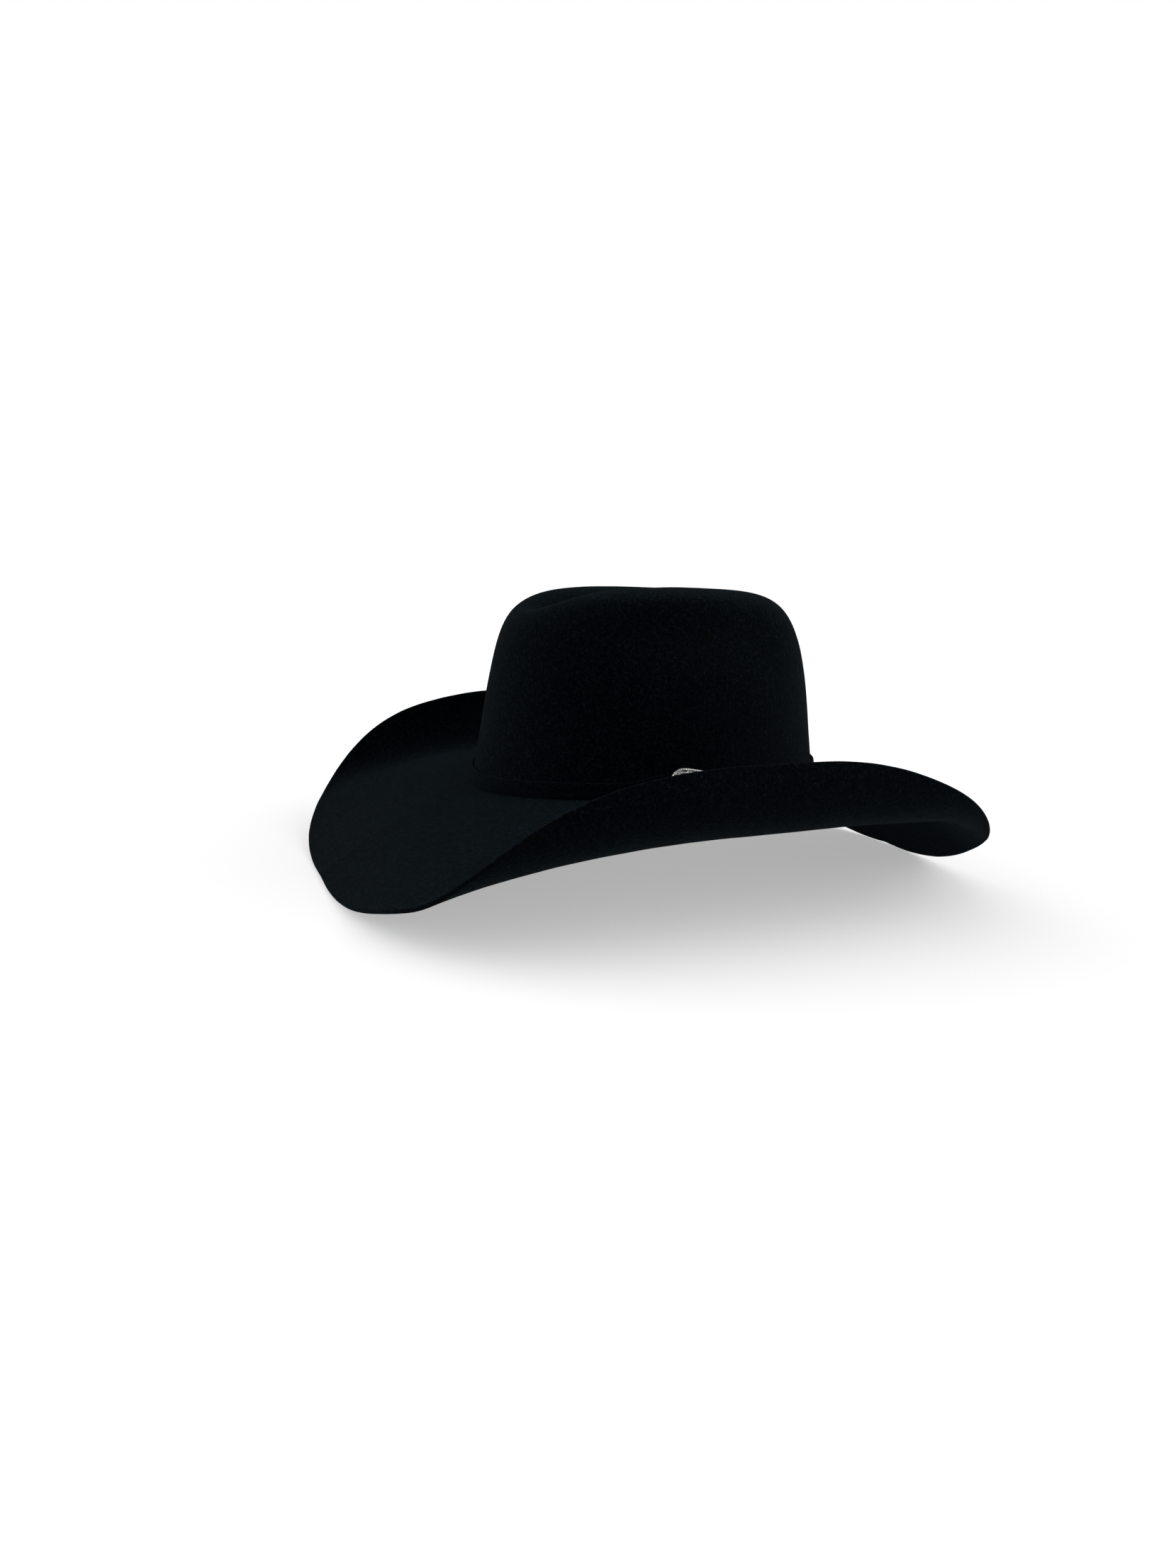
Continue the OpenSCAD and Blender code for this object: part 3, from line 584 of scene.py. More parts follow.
def felt_body(mat):
    turn = np.arange(FELT_AROUND) * 360 / FELT_AROUND
    low_up, low_out = BREAK_R / CROWN_H / 1.6, BREAK_R / BRIM_SIDE
    under_up, under_out = UNDER_BREAK_R / CROWN_H / 1.6, UNDER_BREAK_R / BRIM_SIDE
    ups = np.linspace(0.988, low_up, CROWN_ROWS)
    outs = np.linspace(low_out, 1, BRIM_ROWS)
    wall_in = np.linspace(under_up, 0.988, CROWN_ROWS)
    brim_in = np.linspace(1, under_out, BRIM_ROWS)
    zero = np.zeros_like(turn)
    break_out = crown_point(turn, zero)
    break_in = break_out - FELT_T * (crown_normal(turn, zero) + brim_normal(turn, zero))
    crown = rows_of(turn, ups, crown_point)
    brim = rows_of(turn, outs, brim_point)
    under = rows_of(turn, brim_in, under_brim)
    inside = rows_of(turn, wall_in, lambda t, u: under_crown(t, u, FELT_T))
    rows = crown + rounded_corner(crown[-1], break_out, brim[0]) + brim + cut_edge(turn) + under
    rows += rounded_corner(under[-1], break_in, inside[0]) + inside
    top = crown_point(np.array([0.0]), np.array([1.0]))
    sections = np.stack(rows)
    points, faces = skin(sections)
    faces = faces[:-2]
    last = (len(rows) - 1) * FELT_AROUND
    points = np.concatenate([points, top, top - (0, 0, FELT_T)])
    for i in range(FELT_AROUND):
        j = (i + 1) % FELT_AROUND
        faces += [(len(points) - 2, j, i), (len(points) - 1, last + i, last + j)]
    return piece("felt_hat_body", (hand_made(points), faces), mat, ["felt_body"])


# ---- Band ----

BAND_ROWS = np.array([0, 0.12, 0.35, 0.7, 1.2, 2.1, 3.0, 3.7, 4.5, 5.3, 6.0, 6.8, 7.4, 7.8, 8.15, 8.38, 8.5])


def hat_band(mat):
    """Strip of felt from under the buckle round the crown and back over itself through the buckle set."""
    circle = 360 * ARC_PER_TURN
    under = np.arange(UNDER_START, 34, 1.2)
    plain = np.linspace(34, circle - 20, 400)[1:-1]
    over = np.arange(-20, TAIL_L, 0.6)
    along = np.concatenate([under, plain, over])
    lifted = np.concatenate([under, plain - circle * (plain > 300 * ARC_PER_TURN), over])
    out = np.concatenate([under_layer(under), np.full_like(plain, BAND_GAP), over_layer(over)])
    turn = turn_at(along)[:, None]
    out, low = out[:, None], (BAND_FOOT + lift(lifted))[:, None]
    half = edge_round(BAND_ROWS, BAND_H, 0.75)[None, :] * BAND_T / 2
    belly = 0.12 * np.sin(np.pi * BAND_ROWS / BAND_H)[None, :]
    middle = out + BAND_T / 2
    height = low + BAND_ROWS[None, :]
    front = hand_made(wall_point(turn, height, middle + half + belly))
    back = hand_made(wall_point(turn, height, middle - half))
    keep = np.ones((len(along) - 1, len(BAND_ROWS) - 1), bool)
    first = len(under) + len(plain)
    slot = (over[:-1] >= SLOT_FROM) & (over[:-1] < SLOT_TO)
    keep[first:, 6:10] = ~slot[:, None]
    strip = piece("felt_hat_band", slab(front, back, keep), mat, ["hat_band"])
    return strip


def stitch(local, start, end, height, r, sides=8, steps=9):
    """A short arched length of thread, from start to end in a local frame, arching along x."""
    t = np.linspace(0, 1, steps)[:, None]
    line = start + (end - start) * t
    line[:, 0] += height * np.sin(np.pi * t[:, 0])
    way = unit(np.gradient(line, axis=0))
    side = unit(np.cross(way, np.array([1.0, 0, 0])))
    normal = np.cross(side, way)
    a = np.arange(sides) * 2 * np.pi / sides
    ring = np.cos(a)[None, :, None] * side[:, None, :] + np.sin(a)[None, :, None] * normal[:, None, :]
    thin = (0.55 + 0.45 * np.sin(np.pi * t))[:, :, None]
    return skin(in_frame(local, line[:, None, :] + r * thin * ring))


def row_of_stitches(places, start, end, height, r):
    return joined([stitch(local, np.array(start), np.array(end), height, r) for local in places])


def band_tacks(mat):
    face = BAND_GAP + BAND_T
    places = []
    for turn in range(40, 321, 40):
        along = (turn - BUCKLE_TURN) * ARC_PER_TURN
        along -= 360 * ARC_PER_TURN if turn - BUCKLE_TURN > 300 else 0
        places.append(wall_frame(turn, BAND_FOOT + float(lift(along)) + BAND_H - 0.5))
    shape = row_of_stitches(places, (face - 0.15, -1.3, 0), (face - 0.15, 1.3, 0), 0.4, 0.2)
    return piece("band_tack_stitches", shape, mat, ["band_tacks"])


# ---- Buckle set ----

ROPE_R, ROPE_INSET, ROPE_TWIST, ROPE_LOBES = 0.72, 0.78, 3.9, 3
BAR = wall_frame(BUCKLE_TURN, 0) @ Matrix.Translation((BAR_OUT, 0, FRAME_MID))


def half_outline(step):
    """Upper half of the frame from the toe to the heel: the outline, and the window's edge beside it."""
    a = np.radians(np.arange(0, 90, step / TOE_HALF_H * 57.3))
    toe = np.stack([TOE_Y + TOE_L * (1 - np.cos(a)), TOE_HALF_H * np.sin(a)], -1)
    k = superellipse(np.cos(a), np.sin(a), 3.2)
    inner_toe = np.stack([TOE_Y + TOE_RIM + 4 * (1 - np.cos(a) * k), WINDOW_HALF_H * np.sin(a) * k], -1)
    start, end = TOE_Y + TOE_L, HEEL_END
    v = np.arange(0, 1.0001, step / (end - start))
    fall = (TOE_HALF_H - HEEL_HALF_H) * (v * v * (3 - 2 * v) * 0.6 + v * 0.4 * v)
    side = np.stack([start + (end - start) * v, TOE_HALF_H - fall], -1)
    inner_start = TOE_Y + TOE_RIM + 4
    inner_side = np.stack([inner_start + (end - inner_start) * v, np.full_like(v, WINDOW_HALF_H)], -1)
    return np.concatenate([toe, side]), np.concatenate([inner_toe, inner_side])


def both_halves(half):
    return np.concatenate([half[::-1], (half * (1, -1))[1:]])


def inset(line, amount):
    """A line in the plane, moved towards its inner side."""
    way = unit(np.gradient(line, axis=0))
    return line + amount * np.stack([-way[:, 1], way[:, 0]], -1)


def length_along(line):
    return np.concatenate([[0], np.cumsum(np.linalg.norm(np.diff(line, axis=0), axis=1))])


def rope(line, radius, closed=False, sides=24):
    """A twisted cord of wire along a line in space, and how rubbed each point of it is."""
    way = np.gradient(line, axis=0)
    if closed:
        way = np.roll(line, -1, axis=0) - np.roll(line, 1, axis=0)
    way = unit(way)
    normal = unit(np.cross(way, np.array([0.0, 0, 1.0])) + 1e-6)
    flat = np.abs(way[:, 2]) > 0.98
    normal[flat] = unit(np.cross(way[flat], np.array([1.0, 0, 0])))
    side = np.cross(way, normal)
    far = length_along(line)
    whole = far[-1] + (np.linalg.norm(line[0] - line[-1]) if closed else 0)
    twist = whole / max(1, round(whole / ROPE_TWIST * ROPE_LOBES)) * ROPE_LOBES if closed else ROPE_TWIST
    a = np.arange(sides) * 2 * np.pi / sides
    lobe = np.abs(np.cos((a[None, :] * ROPE_LOBES - 2 * np.pi * ROPE_LOBES * far[:, None] / twist) / 2)) ** 0.8
    r = radius * (0.72 + 0.28 * lobe)
    ring = np.cos(a)[None, :, None] * normal[:, None, :] + np.sin(a)[None, :, None] * side[:, None, :]
    points, faces = skin(line[:, None, :] + r[:, :, None] * ring, closed)
    return (points, faces), (0.05 + 0.95 * lobe).reshape(-1)


def scroll(s, w, period=6.4):
    """Engraved scroll of a stem and leaves, from 0 in its cuts to 1 on its crests; w runs from 0 to 1 across."""
    turn = 2 * np.pi * s / period
    stem = 0.5 + 0.26 * np.sin(turn)
    away = np.abs(w - stem)
    line = np.exp(-((away / 0.1) ** 2))
    leaves = 0.5 + 0.5 * np.cos(3 * turn + 9 * (w - stem) * np.sign(np.cos(turn)))
    cut = 0.5 + 0.5 * np.cos(2 * np.pi * s / 0.62)
    return np.clip(np.maximum(line, leaves * (0.55 + 0.45 * cut) * (away > 0.16)), 0, 1)


def flat_line(line, x):
    """A line in the plane of the buckle as points in space."""
    return np.stack([np.full(len(line), x), line[:, 0], line[:, 1]], -1)


def buckle_frame(mat):
    outer, inner = (both_halves(part) for part in half_outline(0.22))
    rim = inset(outer, 2 * ROPE_INSET)
    far = length_along(outer)[:, None]
    w = np.linspace(0.06, 0.94, 12)[None, :]
    relief = scroll(far, w)
    dome = 0.36 + 0.42 * np.sin(np.pi * w) ** 0.6 + 0.17 * relief
    face = inner[:, None, :] + (rim - inner)[:, None, :] * w[:, :, None]
    count = len(outer)

    def edge(line, x):
        return np.concatenate([np.full((count, 1, 1), x), line[:, None, :]], -1)

    front = np.concatenate([dome[:, :, None], face], -1)
    sections = np.concatenate([
        edge(inner, -1.0), edge(inner, 0.2), front, edge(rim, 0.02), edge(inset(outer, ROPE_INSET), 0.0),
        edge(inset(outer, 0.15), -0.1), edge(outer, -0.4), edge(inset(outer, 0.25), -1.0)
    ], 1)
    dark = [np.full((count, 1), v) for v in (0.4, 0.55)] + [0.28 + 0.72 * relief]
    dark += [np.full((count, 1), v) for v in (0.0, 0.0, 0.3, 0.6, 0.5)]
    cord, rubbed = rope(flat_line(inset(outer, ROPE_INSET), 0.28), ROPE_R)
    points, faces = joined([skin(sections), cord])
    worn = np.concatenate([np.concatenate(dark, 1).reshape(-1), rubbed])
    return piece("engraved_buckle_frame", (in_frame(BAR, points), faces), mat, ["buckle_frame"],
                 "buckle", worn)


def buckle_tongue(mat):
    """Ring round the bar and a tapered shank that climbs through the strap and rests on the toe."""
    inside, outside = BAR_R + BAR_FIT, BAR_R + 0.95
    y = np.linspace(-0.9, -18.2, 60)
    low = np.interp(-y, [1, 6, 10.4, 15.4, 18.2], [-0.6, 1.0, 1.7, 1.14, 1.14])
    high = np.interp(-y, [0.8, 5.6, 10.2, 15.6, 18.2], [1.25, 2.4, 3.0, 2.42, 2.15])
    smooth = np.ones(9) / 9
    low = np.convolve(np.pad(low, 4, "edge"), smooth, "valid")
    high = np.convolve(np.pad(high, 4, "edge"), smooth, "valid")
    half = TONGUE_W / 2 * np.interp(-y, [0, 12, 17, 18.2], [0.98, 0.86, 0.62, 0.35])
    a = np.arange(20) * 2 * np.pi / 20
    k = superellipse(np.cos(a), np.sin(a), 3.4)
    middle, rise = (low + high) / 2, (high - low) / 2
    x = middle[:, None] + rise[:, None] * (np.sin(a) * k)[None, :]
    z = half[:, None] * (np.cos(a) * k)[None, :]
    shank = skin(np.stack([x, np.broadcast_to(y[:, None], x.shape), z], -1))
    b = np.arange(48) * 2 * np.pi / 48
    r = (inside + outside) / 2 + (outside - inside) / 2 * (np.sin(a) * k)[None, :] + 0 * b[:, None]
    across = TONGUE_W / 2 * (np.cos(a) * k)[None, :] + 0 * b[:, None]
    ring = skin(np.stack([r * np.cos(b)[:, None], r * np.sin(b)[:, None], across], -1), True)
    points, faces = joined([shank, ring])
    worn = np.concatenate([(0.75 + 0.25 * np.sin(a)[None, :] * np.ones_like(x)).reshape(-1),
                           np.full(len(ring[0]), 0.6)])
    return piece("buckle_tongue_pin", (in_frame(BAR, points), faces), mat, ["buckle_tongue"], "tongue",
                 worn)


def buckle_chape(mat):
    """Felt tab folded round the bar, in two ears beside the tongue's root."""
    mid = BAR_R + BAR_FIT + CHAPE_T / 2
    straight = np.linspace(CHAPE_L, 0.25, 16)
    bend = np.radians(np.linspace(90, 270, 25))
    path = np.concatenate([
        np.stack([np.full_like(straight, mid), straight], -1),
        np.stack([mid * np.sin(bend), mid * np.cos(bend)], -1),
        np.stack([np.full_like(straight, -mid), straight[::-1]], -1)
    ])
    normal = np.concatenate([
        np.tile([1.0, 0], (len(straight), 1)), np.stack([np.sin(bend), np.cos(bend)], -1),
        np.tile([-1.0, 0], (len(straight), 1))
    ])
    z = np.array([-3.8, -3.65, -3.3, -2.6, -2.0, -1.4, 0, 1.4, 2.0, 2.6, 3.3, 3.65, 3.8])
    half = edge_round(z + CHAPE_HALF_H, 2 * CHAPE_HALF_H, 0.4, 0.3) * CHAPE_T / 2

    def side(sign):
        flat = path[:, None, :] + sign * half[None, :, None] * normal[:, None, :]
        return in_frame(BAR, np.concatenate([flat, np.broadcast_to(z[None, :, None], flat.shape[:2] + (1,))], -1))

    keep = np.ones((len(path) - 1, len(z) - 1), bool)
    keep[:, 5:7] = (path[:-1, 1] > 3)[:, None]
    return piece("felt_chape_tab", slab(side(1), side(-1), keep), mat, ["buckle_chape"])


def chape_stitches(mat):
    face = BAR_R + BAR_FIT + CHAPE_T
    places = [BAR @ Matrix.Translation((face, CHAPE_L - 1.3, z)) for z in (-2.7, -0.9, 0.9, 2.7)]
    shape = row_of_stitches(places, (-0.1, -0.8, 0), (-0.1, 0.8, 0), 0.18, 0.17)
    return piece("chape_thread", shape, mat, ["chape_stitches"])


def keeper_loop(mat):
    """Loop round both layers of the strap, with a rope on each edge and an engraved face."""
    half_h, wall, back = BAND_H / 2 + 0.5, 0.8, 0.25
    front = float(over_layer(np.array(KEEPER_MID))) + BAND_T + 0.4
    local = strap_frame(KEEPER_MID, (front - back) / 2)
    mid_x, half_x = (back + 0.6 + front) / 2, (front - back - 0.6) / 2
    a = np.arange(220) * 2 * np.pi / 220
    k = superellipse(np.cos(a), np.sin(a), 9)
    path = np.stack([mid_x + half_x * np.cos(a) * k, half_h * np.sin(a) * k], -1)
    way = unit(np.roll(path, -1, 0) - np.roll(path, 1, 0))
    normal = np.stack([way[:, 1], -way[:, 0]], -1)
    far = length_along(path)[:, None]
    facing = np.clip(normal[:, :1] * 1.4 - 0.2, 0, 1)
    w = np.linspace(0.16, 0.84, 11)[None, :]
    relief = scroll(far, w, 4.6) * facing
    thick = wall * (0.55 + 0.2 * facing + 0.18 * relief)
    y = -KEEPER_HALF + 2 * KEEPER_HALF * np.concatenate([[0.0, 0.0], w[0], [1.0, 1.0]])[None, :] + 0 * far
    base = np.full_like(far, 0.0)
    out = np.concatenate([base, base + wall * 0.3, thick, base + wall * 0.3, base], 1)
    flat = path[:, None, :] + out[:, :, None] * normal[:, None, :]
    sections = np.stack([flat[:, :, 0], y, flat[:, :, 1]], -1)
    low = np.full_like(far, 0.3)
    parts, worn = [skin(sections, True)], [np.concatenate([low, low, 0.3 + 0.7 * relief, low, low], 1).reshape(-1)]
    for at in (-KEEPER_HALF + 0.42, KEEPER_HALF - 0.42):
        line = path + (wall - 0.45) * normal
        cord, rubbed = rope(np.stack([line[:, 0], np.full(len(line), at), line[:, 1]], -1), 0.45, True, 18)
        parts.append(cord)
        worn.append(rubbed)
    points, faces = joined(parts)
    return piece("engraved_keeper_loop", (in_frame(local, points), faces), mat, ["keeper_loop"], "keeper",
                 np.concatenate(worn))


def tip_half(y):
    """Half height of the tip's outline: straight, then a rounded point."""
    half = BAND_H / 2 + 0.9
    return half * np.clip(1 - np.clip((y - 4.2) / 5.1, 0, 1) ** 2.3, 0, 1) ** 0.62


def band_tip(mat):
    """Cap over the end of the tail: a pocket for the strap, a domed engraved face and a rope round its edge."""
    out_at, fit, skin_t = float(over_layer(np.array(float(TIP_MID)))), 0.3, 0.4
    local = strap_frame(TIP_MID, out_at + BAND_T / 2) @ Matrix.Translation((out_at, 0, 0))
    a = (np.arange(72) + 0.5) * 2 * np.pi / 72
    k = superellipse(np.cos(a), np.sin(a), 7)
    mid, half_x = BAND_T / 2, BAND_T / 2 + fit + skin_t

    def ring(y, half_z, half_out, engraved):
        z = half_z * np.sin(a) * k
        x = half_out * np.cos(a) * k
        w = 0.5 + 0.5 * z / (BAND_H / 2 + 0.9)
        facing = np.clip(np.cos(a) * 3 - 1, 0, 1) * engraved
        relief = scroll(np.full_like(w, y + 20), w, 5.2) * facing
        dome = 0.28 * np.clip(1 - (z / max(half_z, 0.1)) ** 2, 0, 1) * facing
        points = np.stack([mid + x + dome + 0.15 * relief, np.full_like(x, y), z], -1)
        return points, 0.32 + 0.68 * relief + 0.4 * (1 - facing)

    pocket = [ring(y, BAND_H / 2 + fit, BAND_T / 2 + fit, 0) for y in (5.3, 2.0, -2.9)]
    ys = np.concatenate([np.arange(-3.0, 8.6, 0.22), [8.75, 8.9, 9.05, 9.2]])
    shell = [ring(y, float(tip_half(y)), half_x * (0.75 + 0.25 * float(tip_half(y)) / 5.15), 1.0) for y in ys]
    sections = np.stack([p for p, _ in pocket + shell])
    worn = np.concatenate([v for _, v in pocket + shell])
    t = np.linspace(0, 1, 90) ** 0.7
    y = -2.7 + (9.0 + 2.7) * t
    edge = np.stack([y, np.clip(tip_half(y) - 0.35, 0, None)], -1)
    line = np.concatenate([edge, (edge * (1, -1))[::-1][1:]])
    dense = np.linspace(0, 1, 320) * length_along(line)[-1]
    line = np.stack([np.interp(dense, length_along(line), line[:, i]) for i in (0, 1)], -1)
    cord, rubbed = rope(flat_line(line, mid + half_x - 0.05), 0.42, False, 18)
    points, faces = joined([skin(sections), cord])
    return piece("engraved_band_tip", (in_frame(local, points), faces), mat, ["band_tip"], "hat",
                 np.concatenate([worn, rubbed]))


# ---- Sweatband ----

def sweatband(mat):
    """Leather strip, drawn in along its row of stitches, with its ends a little apart at the back."""
    gap = 0.6
    turn = np.linspace(90 + gap, 450 - gap, 420)[:, None]
    rows = np.concatenate([[0, 0.15, 0.4, 0.8], np.linspace(1.4, 3.4, 6), np.linspace(5, 50, 22),
                           [52.5, 53.8, 54.4, 54.75, 55]])[None, :]
    rows = rows * (SWEAT_H - SWEAT_FOOT) / 55
    half = edge_round(rows, SWEAT_H - SWEAT_FOOT, 0.6, 0.3) * SWEAT_T / 2
    seam = 0.28 * np.exp(-(((rows - 2.4) / 0.5) ** 2))
    swell = 0.22 * np.sin(np.radians(turn * 11) + rows / 14) * np.clip(rows / 30, 0, 1)
    middle = SWEAT_IN + SWEAT_T / 2 + swell
    height = SWEAT_FOOT + rows + 0.35 * np.sin(np.radians(turn * 3))* np.clip(rows / 50, 0, 1)
    up = np.degrees(np.arctan(height / CROWN_H)) / 90
    front = hand_made(under_crown(turn, up, middle + half - seam))
    back = hand_made(under_crown(turn, up, middle - half))
    return piece("leather_sweatband", slab(front, back), mat, ["sweatband"])


def rod(height, depth, r, sides=14, around=360):
    turn = np.arange(around)[:, None] * 360 / around
    a = (np.arange(sides) * 2 * np.pi / sides)[None, :]
    return skin(hand_made(wall_point(turn, height + r * np.sin(a), -depth + r * np.cos(a))), True)


def sweatband_reed(mat):
    return piece("plastic_reed", rod(REED_H, REED_IN, REED_R), mat, ["sweatband_reed"])


def reed_tape(mat):
    """Ribbon folded under the reed and sewn to the sweatband's foot."""
    mid = REED_R + 0.15 + TAPE_T / 2
    a = np.radians(np.linspace(0, 180, 13))
    outer_wing = np.linspace(1.1, 0.2, 4)
    inner_wing = np.linspace(0.3, 2.7, 8)
    path = np.concatenate([
        np.stack([np.full_like(outer_wing, mid), outer_wing], -1), np.stack([mid * np.cos(a), -mid * np.sin(a)], -1),
        np.stack([np.full_like(inner_wing, -mid), inner_wing], -1)
    ])
    way = unit(np.gradient(path, axis=0))
    normal = np.stack([-way[:, 1], way[:, 0]], -1)
    turn = np.arange(420)[:, None] * 360 / 420

    def side(sign):
        line = path + sign * TAPE_T / 2 * normal
        return hand_made(wall_point(turn, REED_H + line[None, :, 1], -REED_IN + line[None, :, 0]))

    tape = piece("ribbon_reed_tape", slab(side(1), side(-1), None, True), mat, ["reed_tape"])
    return tape


def sweatband_stitches(mat):
    """Running stitch that holds the tape and the leather together."""
    face = -SWEAT_IN - SWEAT_T
    places = [wall_frame(turn, SWEAT_FOOT + 2.4) for turn in np.arange(72) * 5.0]
    shape = row_of_stitches(places, (face + 0.35, -1.6, 0), (face + 0.35, 1.6, 0), -0.55, 0.24)
    return piece("sweatband_thread", shape, mat, ["sweatband_stitches"])


def ribbon_strip(local, path, half_widths, mids, thick=0.28):
    """A ribbon that follows a path of outward and sideways places, with a half width and a middle height."""
    way = unit(np.gradient(path, axis=0))
    normal = np.stack([-way[:, 1], way[:, 0]], -1)
    across = np.linspace(-1, 1, 9)[None, :]
    z = mids[:, None] + half_widths[:, None] * across

    def side(sign):
        flat = (path + sign * thick / 2 * normal)[:, None, :] + 0 * z[:, :, None]
        return in_frame(local, np.concatenate([flat, z[:, :, None]], -1))

    return slab(side(1), side(-1))


def sweatband_bow(mat):
    """Small flat bow at the back of the sweatband: two loops, a knot and two tails."""
    local = wall_frame(90, 16, -BOW_IN - 0.7)
    parts = []
    for sign in (-1, 1):
        t = np.linspace(0, 1, 28)
        loop = np.stack([-0.55 * np.cos(np.pi * t), sign * (1.0 + 10.6 * np.sin(np.pi * t) ** 0.8)], -1)
        reach = np.sin(np.pi * t)
        parts.append(ribbon_strip(local, loop, 1.5 + 2.2 * reach, 0.9 * reach))
        u = np.linspace(0, 1, 14)
        tail = np.stack([0.15 + 0.25 * np.sin(3 * u), sign * (0.6 + 5.6 * u)], -1)
        parts.append(ribbon_strip(local, tail, 1.2 + 1.0 * u, -1 - 7.5 * u))
    b = np.arange(28) * 2 * np.pi / 28
    k = superellipse(np.cos(b), np.sin(b), 3)
    y = np.linspace(-1.8, 1.8, 9)
    fat = 1 - 0.22 * (y / 1.8) ** 2
    ring = np.stack([1.0 * np.cos(b) * k, 2.2 * np.sin(b) * k], -1)
    knot = np.stack([np.stack([f * ring[:, 0], np.full_like(b, v), f * ring[:, 1]], -1) for f, v in zip(fat, y)])
    parts.append(skin(in_frame(local, knot)))
    return piece("ribbon_bow", joined(parts), mat, ["sweatband_bow"])


def size_label(mat):
    """Blank woven label on the leather, its edges turned under."""
    local = wall_frame(108, 24, -LABEL_IN - 0.15)
    y, z = np.meshgrid(np.linspace(-8, 8, 34), np.linspace(0, 11, 24), indexing="ij")
    rim = np.minimum(np.minimum(8 - np.abs(y), z), 11 - z)
    half = 0.05 + 0.1 * np.clip(rim / 0.4, 0, 1) + 0.06 * np.exp(-(((rim - 1.0) / 0.25) ** 2))
    curve = -0.006 * y * y
    front = np.stack([curve - half, y, z], -1)
    back = np.stack([curve + 0.12 + 0 * y, y, z], -1)
    label = piece("woven_size_label", slab(in_frame(local, front), in_frame(local, back)), mat, ["size_label"])
    return label


# ---- Lining ----


def lining_side(mat):
    """Satin band inside the crown, with shallow gathers that deepen towards its seam."""
    turn = np.arange(480)[:, None] * 360 / 480
    ups = np.concatenate([[LINING_LOW], np.linspace(LINING_LOW + 0.002, LINING_SEAM - SEAM_GAP, 34)])[None, :]
    share = (ups - LINING_LOW) / (LINING_SEAM - LINING_LOW)
    gather = np.sin(np.radians(turn * 47)) * 0.5 + np.sin(np.radians(turn * 29) + 1.3) * 0.5
    pull = 0.42 * gather * np.clip((share - 0.62) / 0.38, 0, 1) ** 1.5
    swing = 0.9 * np.clip(np.sin(np.pi * np.clip((share - 0.6) / 0.4, 0, 1)), 0, 1)
    depth = LINING_IN + 0.35 + np.abs(pull) + swing
    flat_turn, flat_up = np.broadcast_to(turn, depth.shape), np.broadcast_to(ups, depth.shape)
    place, normal = crown_point(flat_turn, flat_up), crown_normal(flat_turn, flat_up)
    half = LINING_T / 2 * 0.7
    front = hand_made(place - (depth + half)[..., None] * normal)
    back = hand_made(place - (depth - half)[..., None] * normal)
    panel = piece("satin_lining_side", slab(front, back, None, True), mat, ["lining_side"])
    return panel


def under_top(rim, rows, around, depth_at, thick):
    """A dished panel under the top of the crown, from its rim nearly to the middle, closed at the middle."""
    turn = np.arange(around)[:, None] * 360 / around
    ups = np.linspace(rim, 0.995, rows)[None, :]
    depth = depth_at(turn, ups)
    flat_turn, flat_up = np.broadcast_to(turn, depth.shape), np.broadcast_to(ups, depth.shape)
    place, normal = crown_point(flat_turn, flat_up), crown_normal(flat_turn, flat_up)
    front = hand_made(place - (depth + thick)[..., None] * normal)
    back = hand_made(place - depth[..., None] * normal)
    points, faces = slab(front, back, None, True)
    hub = set(range(rows - 1, around * rows, rows))
    shift = around * rows
    walls = [f for f in faces if {i % shift for i in f} <= hub]
    faces = [f for f in faces if f not in set(walls)]
    faces += [tuple(sorted(hub)), tuple(i + shift for i in sorted(hub))[::-1]]
    return (points, faces), front


def lining_tip(mat):
    """Oval satin panel in the top of the crown, puckered along its seam."""
    def depth(turn, ups):
        near_rim = np.exp(-((ups - LINING_SEAM) / 0.05))
        pucker = 0.5 + 0.5 * np.sin(np.radians(turn * 41)) * np.cos(np.radians(turn * 13))
        return TIP_IN + 0.5 * pucker * np.clip(near_rim, 0, 1) + 0 * ups

    shape, front = under_top(LINING_SEAM + SEAM_GAP, 46, 400, depth, LINING_T * 0.7)
    panel = piece("satin_lining_tip", shape, mat, ["lining_tip"])
    return panel


def lining_cord(mat):
    """Twisted piping over the seam of the lining."""
    turn = np.arange(1440) * 360 / 1440
    line = under_crown(turn, np.full_like(turn, LINING_SEAM), CORD_IN)
    shape, _ = rope(hand_made(line), CORD_R, True, 16)
    return piece("satin_lining_piping", shape, mat, ["lining_cord"])


def lining_shield(mat):
    """Clear film over the middle of the lining's tip."""
    def depth(turn, ups):
        return TIP_IN + LINING_T + 0.35 + 0.12 * np.sin(np.radians(turn * 5)) + 0 * ups

    shape, _ = under_top(SHIELD_RIM, 18, 240, depth, 0.35)
    return piece("clear_lining_shield", shape, mat, ["lining_shield"])


# ---- Stage, light and camera ----

FLOOR_HALF, FLOOR_GLOW = 30.0, 0.4
SIDE_LIGHT, TOP_LIGHT = (0.5, 1.0, 0.0, 2.8), (0.3, 1.0, 0.01, 0.75)
CAMERA_TURN, CAMERA_RISE, CAMERA_ROLL = 65.57, 11.79, 1.394
CAMERA_FAR, CAMERA_SIDE, CAMERA_LIFT, AIM_H = 564.1, -33.47, -50.41, 40.0
LENS_PER_FAR = 2.3670
SENSOR = 36.0
PHOTO_H = 2212


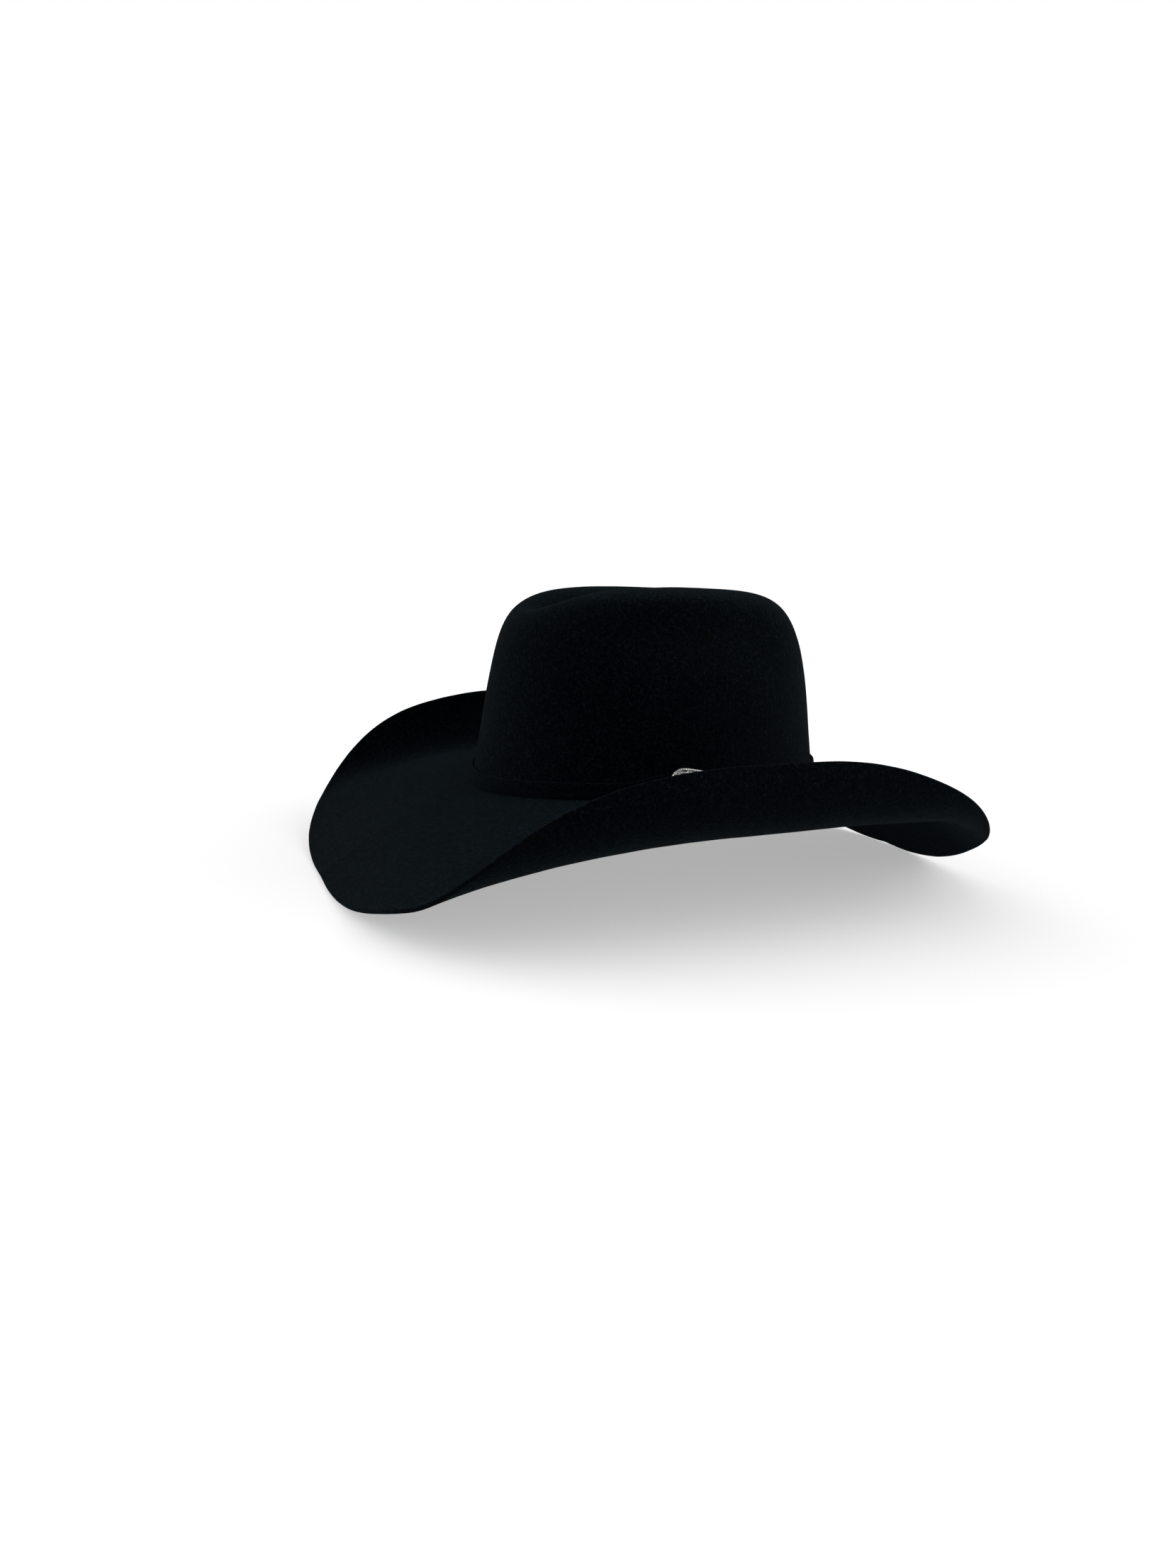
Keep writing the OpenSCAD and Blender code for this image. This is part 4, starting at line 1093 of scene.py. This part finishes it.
def camera():
    """The camera's place and turn, in the crown's frame, then stood on the floor with it."""
    a, e, r = (math.radians(v) for v in (CAMERA_TURN, CAMERA_RISE, CAMERA_ROLL))
    back = Vector((math.sin(a) * math.cos(e), -math.cos(a) * math.cos(e), math.sin(e)))
    right = Vector((math.cos(a), math.sin(a), 0))
    up = back.cross(right)
    eye = Vector((0, 0, AIM_H)) + right * CAMERA_SIDE + up * CAMERA_LIFT + back * CAMERA_FAR
    right, up = right * math.cos(r) + up * math.sin(r), up * math.cos(r) - right * math.sin(r)
    pose = Matrix((right, up, back)).transposed().to_4x4()
    pose.translation = eye
    pose = STAND @ pose
    pose.translation *= MM
    data = bpy.data.cameras.new("camera")
    data.sensor_width = SENSOR
    data.lens = SENSOR * LENS_PER_FAR * CAMERA_FAR / PHOTO_H
    data.clip_start = 0.01
    obj = bpy.data.objects.new("camera", data)
    obj.matrix_world = pose
    bpy.context.scene.collection.objects.link(obj)
    bpy.context.scene.camera = obj


def studio():
    """White room, lit from both sides of the camera and a little from above, dark behind the camera."""
    world = bpy.data.worlds.new("studio")
    world.use_nodes = True
    nodes, links = world.node_tree.nodes, world.node_tree.links
    nodes["Background"].inputs["Color"].default_value = (1, 1, 1, 1)
    way = nodes.new("ShaderNodeTexCoord").outputs["Generated"]

    def lit(axis, low, high, dim, bright):
        """Strength that rises from dim to bright with the share of the direction along an axis."""
        along, share, ramp = (nodes.new("ShaderNode" + kind) for kind in ("VectorMath", "Math", "MapRange"))
        along.operation = "DOT_PRODUCT"
        along.inputs[1].default_value = axis
        share.operation = "ABSOLUTE" if axis[2] == 0 else "ADD"
        share.inputs[1].default_value = 0
        for key, number in (("From Min", low), ("From Max", high), ("To Min", dim), ("To Max", bright)):
            ramp.inputs[key].default_value = number
        links.new(way, along.inputs[0])
        links.new(along.outputs["Value"], share.inputs[0])
        links.new(share.outputs[0], ramp.inputs["Value"])
        return ramp.outputs["Result"]

    def combined(operation, a, b):
        node = nodes.new("ShaderNodeMath")
        node.operation = operation
        links.new(a, node.inputs[0])
        links.new(b, node.inputs[1])
        return node.outputs[0]

    turn = math.radians(CAMERA_TURN)
    sides = lit((math.cos(turn), math.sin(turn), 0), *SIDE_LIGHT)
    seen = nodes.new("ShaderNodeLightPath").outputs["Is Camera Ray"]
    strength = combined("MAXIMUM", combined("ADD", sides, lit((0, 0, 1), *TOP_LIGHT)), seen)
    links.new(strength, nodes["Background"].inputs["Strength"])
    return world


def stage(lowest):
    mesh = bpy.data.meshes.new("floor")
    f = FLOOR_HALF
    mesh.from_pydata([(-f, -f, lowest), (f, -f, lowest), (f, f, lowest), (-f, f, lowest)], [], [(0, 1, 2, 3)])
    mesh.materials.append(material("pale_floor", (0.8, 0.8, 0.8), 0.9, Specular_IOR_Level=0.0,
                                   Emission_Color=(1, 1, 1, 1), Emission_Strength=FLOOR_GLOW))
    floor = bpy.data.objects.new("floor", mesh)
    bpy.context.scene.collection.objects.link(floor)
    floor.visible_diffuse = False
    bpy.context.scene.world = studio()
    bpy.context.scene.view_settings.view_transform = "Standard"


# ---- Making it all ----

black_felt = felt("black_felt", 0.0014, 0.035)
band_felt = felt("band_felt", 0.001, 0.03)
black_thread = thread("black_thread", (0.0012, 0.0013, 0.0015), (0.004, 0.0043, 0.005))
tan_thread = thread("tan_thread", (0.16, 0.12, 0.08), (0.3, 0.24, 0.17))
bright_silver = silver()
ribbon = woven("ribbon", (0.006, 0.006, 0.007), (0.02, 0.02, 0.022), 0.0006)
satin_cloth = satin()

camera()
felt_body(black_felt)
hat_band(band_felt)
band_tacks(black_thread)
buckle_frame(bright_silver)
buckle_tongue(bright_silver)
buckle_chape(band_felt)
chape_stitches(black_thread)
keeper_loop(bright_silver)
band_tip(bright_silver)
sweatband(leather())
sweatband_reed(plastic())
reed_tape(ribbon)
sweatband_stitches(tan_thread)
sweatband_bow(ribbon)
size_label(woven("label_cloth", (0.6, 0.58, 0.53), (0.75, 0.73, 0.68), 0.0005, 0.1, 0.7))
lining_side(satin_cloth)
lining_tip(satin_cloth)
lining_cord(woven("piping", (0.012, 0.012, 0.015), (0.035, 0.035, 0.042), 0.0008))
lining_shield(vinyl())

metal_nodes = {"buckle_bar": steel(), "tip_rivets": bright_silver}
for node_name, metal in metal_nodes.items():
    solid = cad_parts[node_name]
    solid.data.materials.clear()
    solid.data.materials.append(metal)

visual_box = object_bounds()
stage(visual_box[0][2] - 0.0002)
